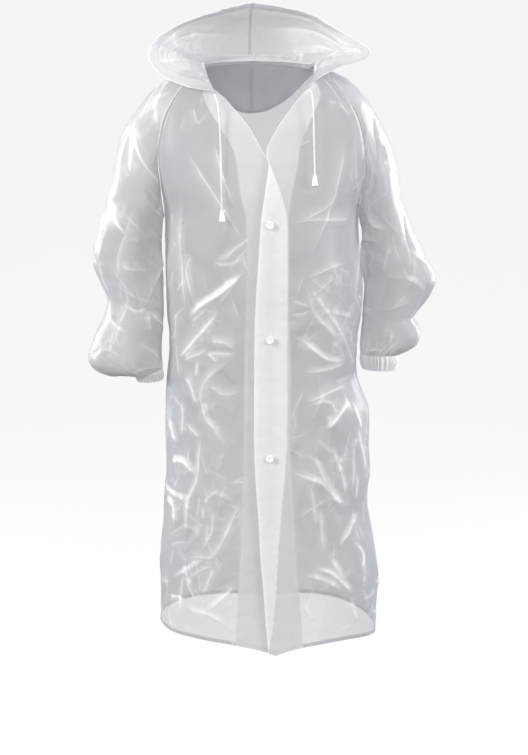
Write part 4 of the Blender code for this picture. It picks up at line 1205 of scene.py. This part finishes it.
def add_snaps(material):
    """Round caps with a raised rim and a dimple, and the posts behind them."""
    for number in (1, 2, 3):
        low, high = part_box(f"snap_cap_{number}")
        centre = (low + high) / 2
        radius = (high.z - low.z) / 2
        out = Vector((0, -1, 0.05)).normalized()
        thick = SNAP_HEIGHT
        profile = [
            (0.0001, 0.0), (radius, 0.0), (radius, 0.35 * thick), (0.96 * radius, 0.72 * thick),
            (0.88 * radius, 0.92 * thick), (0.80 * radius, thick), (0.72 * radius, 0.95 * thick),
            (0.66 * radius, 0.78 * thick), (0.50 * radius, 0.76 * thick), (0.36 * radius, 0.84 * thick),
            (0.28 * radius, 0.80 * thick), (0.20 * radius, 0.62 * thick), (0.0001, 0.58 * thick),
        ]
        cap = turned(f"snap_cap_{number}_shaped", profile, centre - out * thick / 2, out, material)
        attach(cap, "root")
        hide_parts(f"snap_cap_{number}")
        low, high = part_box(f"snap_post_{number}")
        centre = (low + high) / 2
        radius = (high.z - low.z) / 2
        thick = POST_HEIGHT
        profile = [
            (0.0001, 0.0), (radius, 0.0), (radius, 0.5 * thick), (0.9 * radius, 0.8 * thick),
            (0.55 * radius, 0.85 * thick), (0.50 * radius, thick), (0.22 * radius, thick),
            (0.18 * radius, 0.6 * thick), (0.0001, 0.6 * thick),
        ]
        post = turned(f"snap_post_{number}_shaped", profile, centre + out * thick / 2, -out, material)
        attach(post, "root")
        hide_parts(f"snap_post_{number}")


SNAP_HEIGHT = 0.0026
POST_HEIGHT = 0.0016
CORD_END_LENGTH = 0.020


def add_drawstring(cord_finish, plastic):
    for side in ("right", "left"):
        points = smooth_line(CORD_ROUTE[side], 90)
        data = bpy.data.curves.new(f"drawcord_{side}_braid", "CURVE")
        data.dimensions = "3D"
        data.bevel_depth = CORD_DIAMETER / 2
        data.bevel_resolution = 4
        data.use_fill_caps = True
        spline_of = data.splines.new("POLY")
        spline_of.points.add(len(points) - 1)
        for spot, point in zip(spline_of.points, points):
            spot.co = (*point, 1)
        data.materials.append(cord_finish)
        cord = bpy.data.objects.new(f"drawcord_{side}_braid", data)
        bpy.context.scene.collection.objects.link(cord)
        down = Vector(points[-1] - points[-2]).normalized()
        size = CORD_END_LENGTH
        profile = [
            (0.0017, -0.0008), (0.0030, 0.0), (0.0035, 0.0006), (0.0036, 0.0022), (0.0033, 0.0028),
            (0.0033, 0.0036), (0.0037, 0.0042), (0.0052, size - 0.0030), (0.0056, size - 0.0016),
            (0.0054, size - 0.0005), (0.0047, size), (0.0030, size), (0.0024, size - 0.0012),
            (0.0001, size - 0.0014),
        ]
        end = turned(f"cord_end_{side}_shaped", profile, points[-1] + np.array(down) * LAYER_GAP, down, plastic, 40)
        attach(end, "root")
        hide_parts(f"cord_end_{side}")
        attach(cord, "root")
        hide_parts(f"drawcord_{side}")


# ---------------------------------------------------------------- camera, floor and light

CAMERA_TARGET = Vector((0, 0, -0.576))
CAMERA_AZIMUTH = math.radians(-4)
CAMERA_ELEVATION = math.radians(9)
CAMERA_DISTANCE = 3.5
CAMERA_LENS = 88.77
FLOOR_DROP = 1.40  # the wearer's shoulders stand this high


def add_camera():
    data = bpy.data.cameras.new("camera")
    data.lens = CAMERA_LENS
    camera = bpy.data.objects.new("camera", data)
    a, e = CAMERA_AZIMUTH, CAMERA_ELEVATION
    back = Vector((math.sin(a) * math.cos(e), -math.cos(a) * math.cos(e), math.sin(e)))
    camera.location = CAMERA_TARGET + back * CAMERA_DISTANCE
    camera.rotation_mode = "QUATERNION"
    camera.rotation_quaternion = back.to_track_quat("Z", "Y")
    bpy.context.scene.collection.objects.link(camera)
    bpy.context.scene.camera = camera


def add_stage():
    """A pale floor that curves up into a pale wall far away on every side."""
    profile = [(0.001, 0.0), (1.0, 0.0), (3.0, 0.0), (6.0, 0.0), (8.0, 0.1), (9.5, 0.5), (10.7, 1.4)]
    profile += [(11.4, 2.8), (11.8, 5.0), (11.9, 8.0), (11.0, 12.0), (8.0, 15.0), (0.001, 16.0)]
    angle = np.linspace(0, 2 * math.pi, 96, endpoint=False)
    fine = spline(np.array([(r, 0.0, h) for r, h in profile]), np.linspace(0, len(profile) - 1, 90))
    rings = [np.column_stack([p[0] * np.cos(angle), p[0] * np.sin(angle), np.full(96, p[2])]) for p in fine]
    points = np.concatenate(rings) - [0, 0, FLOOR_DROP]
    material, tree, shader, place = new_material("pale_floor", (0.05, 0.05, 0.05), 0.8)
    cloud = node(tree, "ShaderNodeTexNoise", Scale=0.7, Detail=3.0)
    tree.links.new(place, cloud.inputs["Vector"])
    ramp_to(tree, cloud.outputs["Fac"], 0.7, 0.85, shader.inputs["Roughness"])
    shader.inputs["Emission Color"].default_value = (1.0, 1.0, 1.0, 1)
    shader.inputs["Emission Strength"].default_value = FLOOR_GLOW
    floor = add_mesh("floor", points, grid_faces(len(fine), 96, True), material)
    floor.visible_diffuse = False
    floor.visible_glossy = False


FLOOR_GLOW = 0.88


def add_light(name, place, aim, size, power, colour=(1, 1, 1)):
    data = bpy.data.lights.new(name, "AREA")
    data.shape = "RECTANGLE"
    data.size, data.size_y = size
    data.energy = power
    data.color = colour
    light = bpy.data.objects.new(name, data)
    light.location = place
    light.rotation_mode = "QUATERNION"
    light.rotation_quaternion = (Vector(place) - Vector(aim)).to_track_quat("Z", "Y")
    light.visible_camera = False
    bpy.context.scene.collection.objects.link(light)


def add_lights():
    world = bpy.data.worlds.new("studio")
    world.use_nodes = True
    world.node_tree.nodes["Background"].inputs["Color"].default_value = (0.95, 0.97, 1.0, 1)
    world.node_tree.nodes["Background"].inputs["Strength"].default_value = 0.34
    bpy.context.scene.world = world
    chest = (0, 0, -0.5)
    add_light("key", (-3.3, -1.6, 1.2), chest, (1.1, 2.0), 122, (1.0, 0.995, 0.98))
    add_light("front", (-0.6, -4.2, 0.9), chest, (2.2, 2.2), 58)
    add_light("fill", (3.4, -1.3, 0.4), chest, (0.9, 2.0), 78, (0.97, 0.985, 1.0))
    add_light("top", (0.2, 0.3, 2.6), chest, (2.0, 2.0), 36)
    add_light("rim_left", (2.6, 1.8, 0.3), chest, (0.6, 2.2), 80)
    add_light("rim_right", (-2.6, 2.0, 0.3), chest, (0.6, 2.2), 75)


def main():
    add_camera()
    cord_finish = cord_material()
    add_drawstring(cord_finish, plastic_material("cord_end_plastic", (0.94, 0.94, 0.95)))
    film = film_material()
    routes = body_routes()
    add_fronts(film, routes)
    add_back(film, routes)
    add_sleeves(film)
    add_cuffs(film)
    add_hood(film)
    add_snaps(plastic_material("snap_plastic", (0.93, 0.93, 0.94)))
    add_stage()
    add_lights()
    bpy.context.scene.view_settings.view_transform = "Standard"


main()
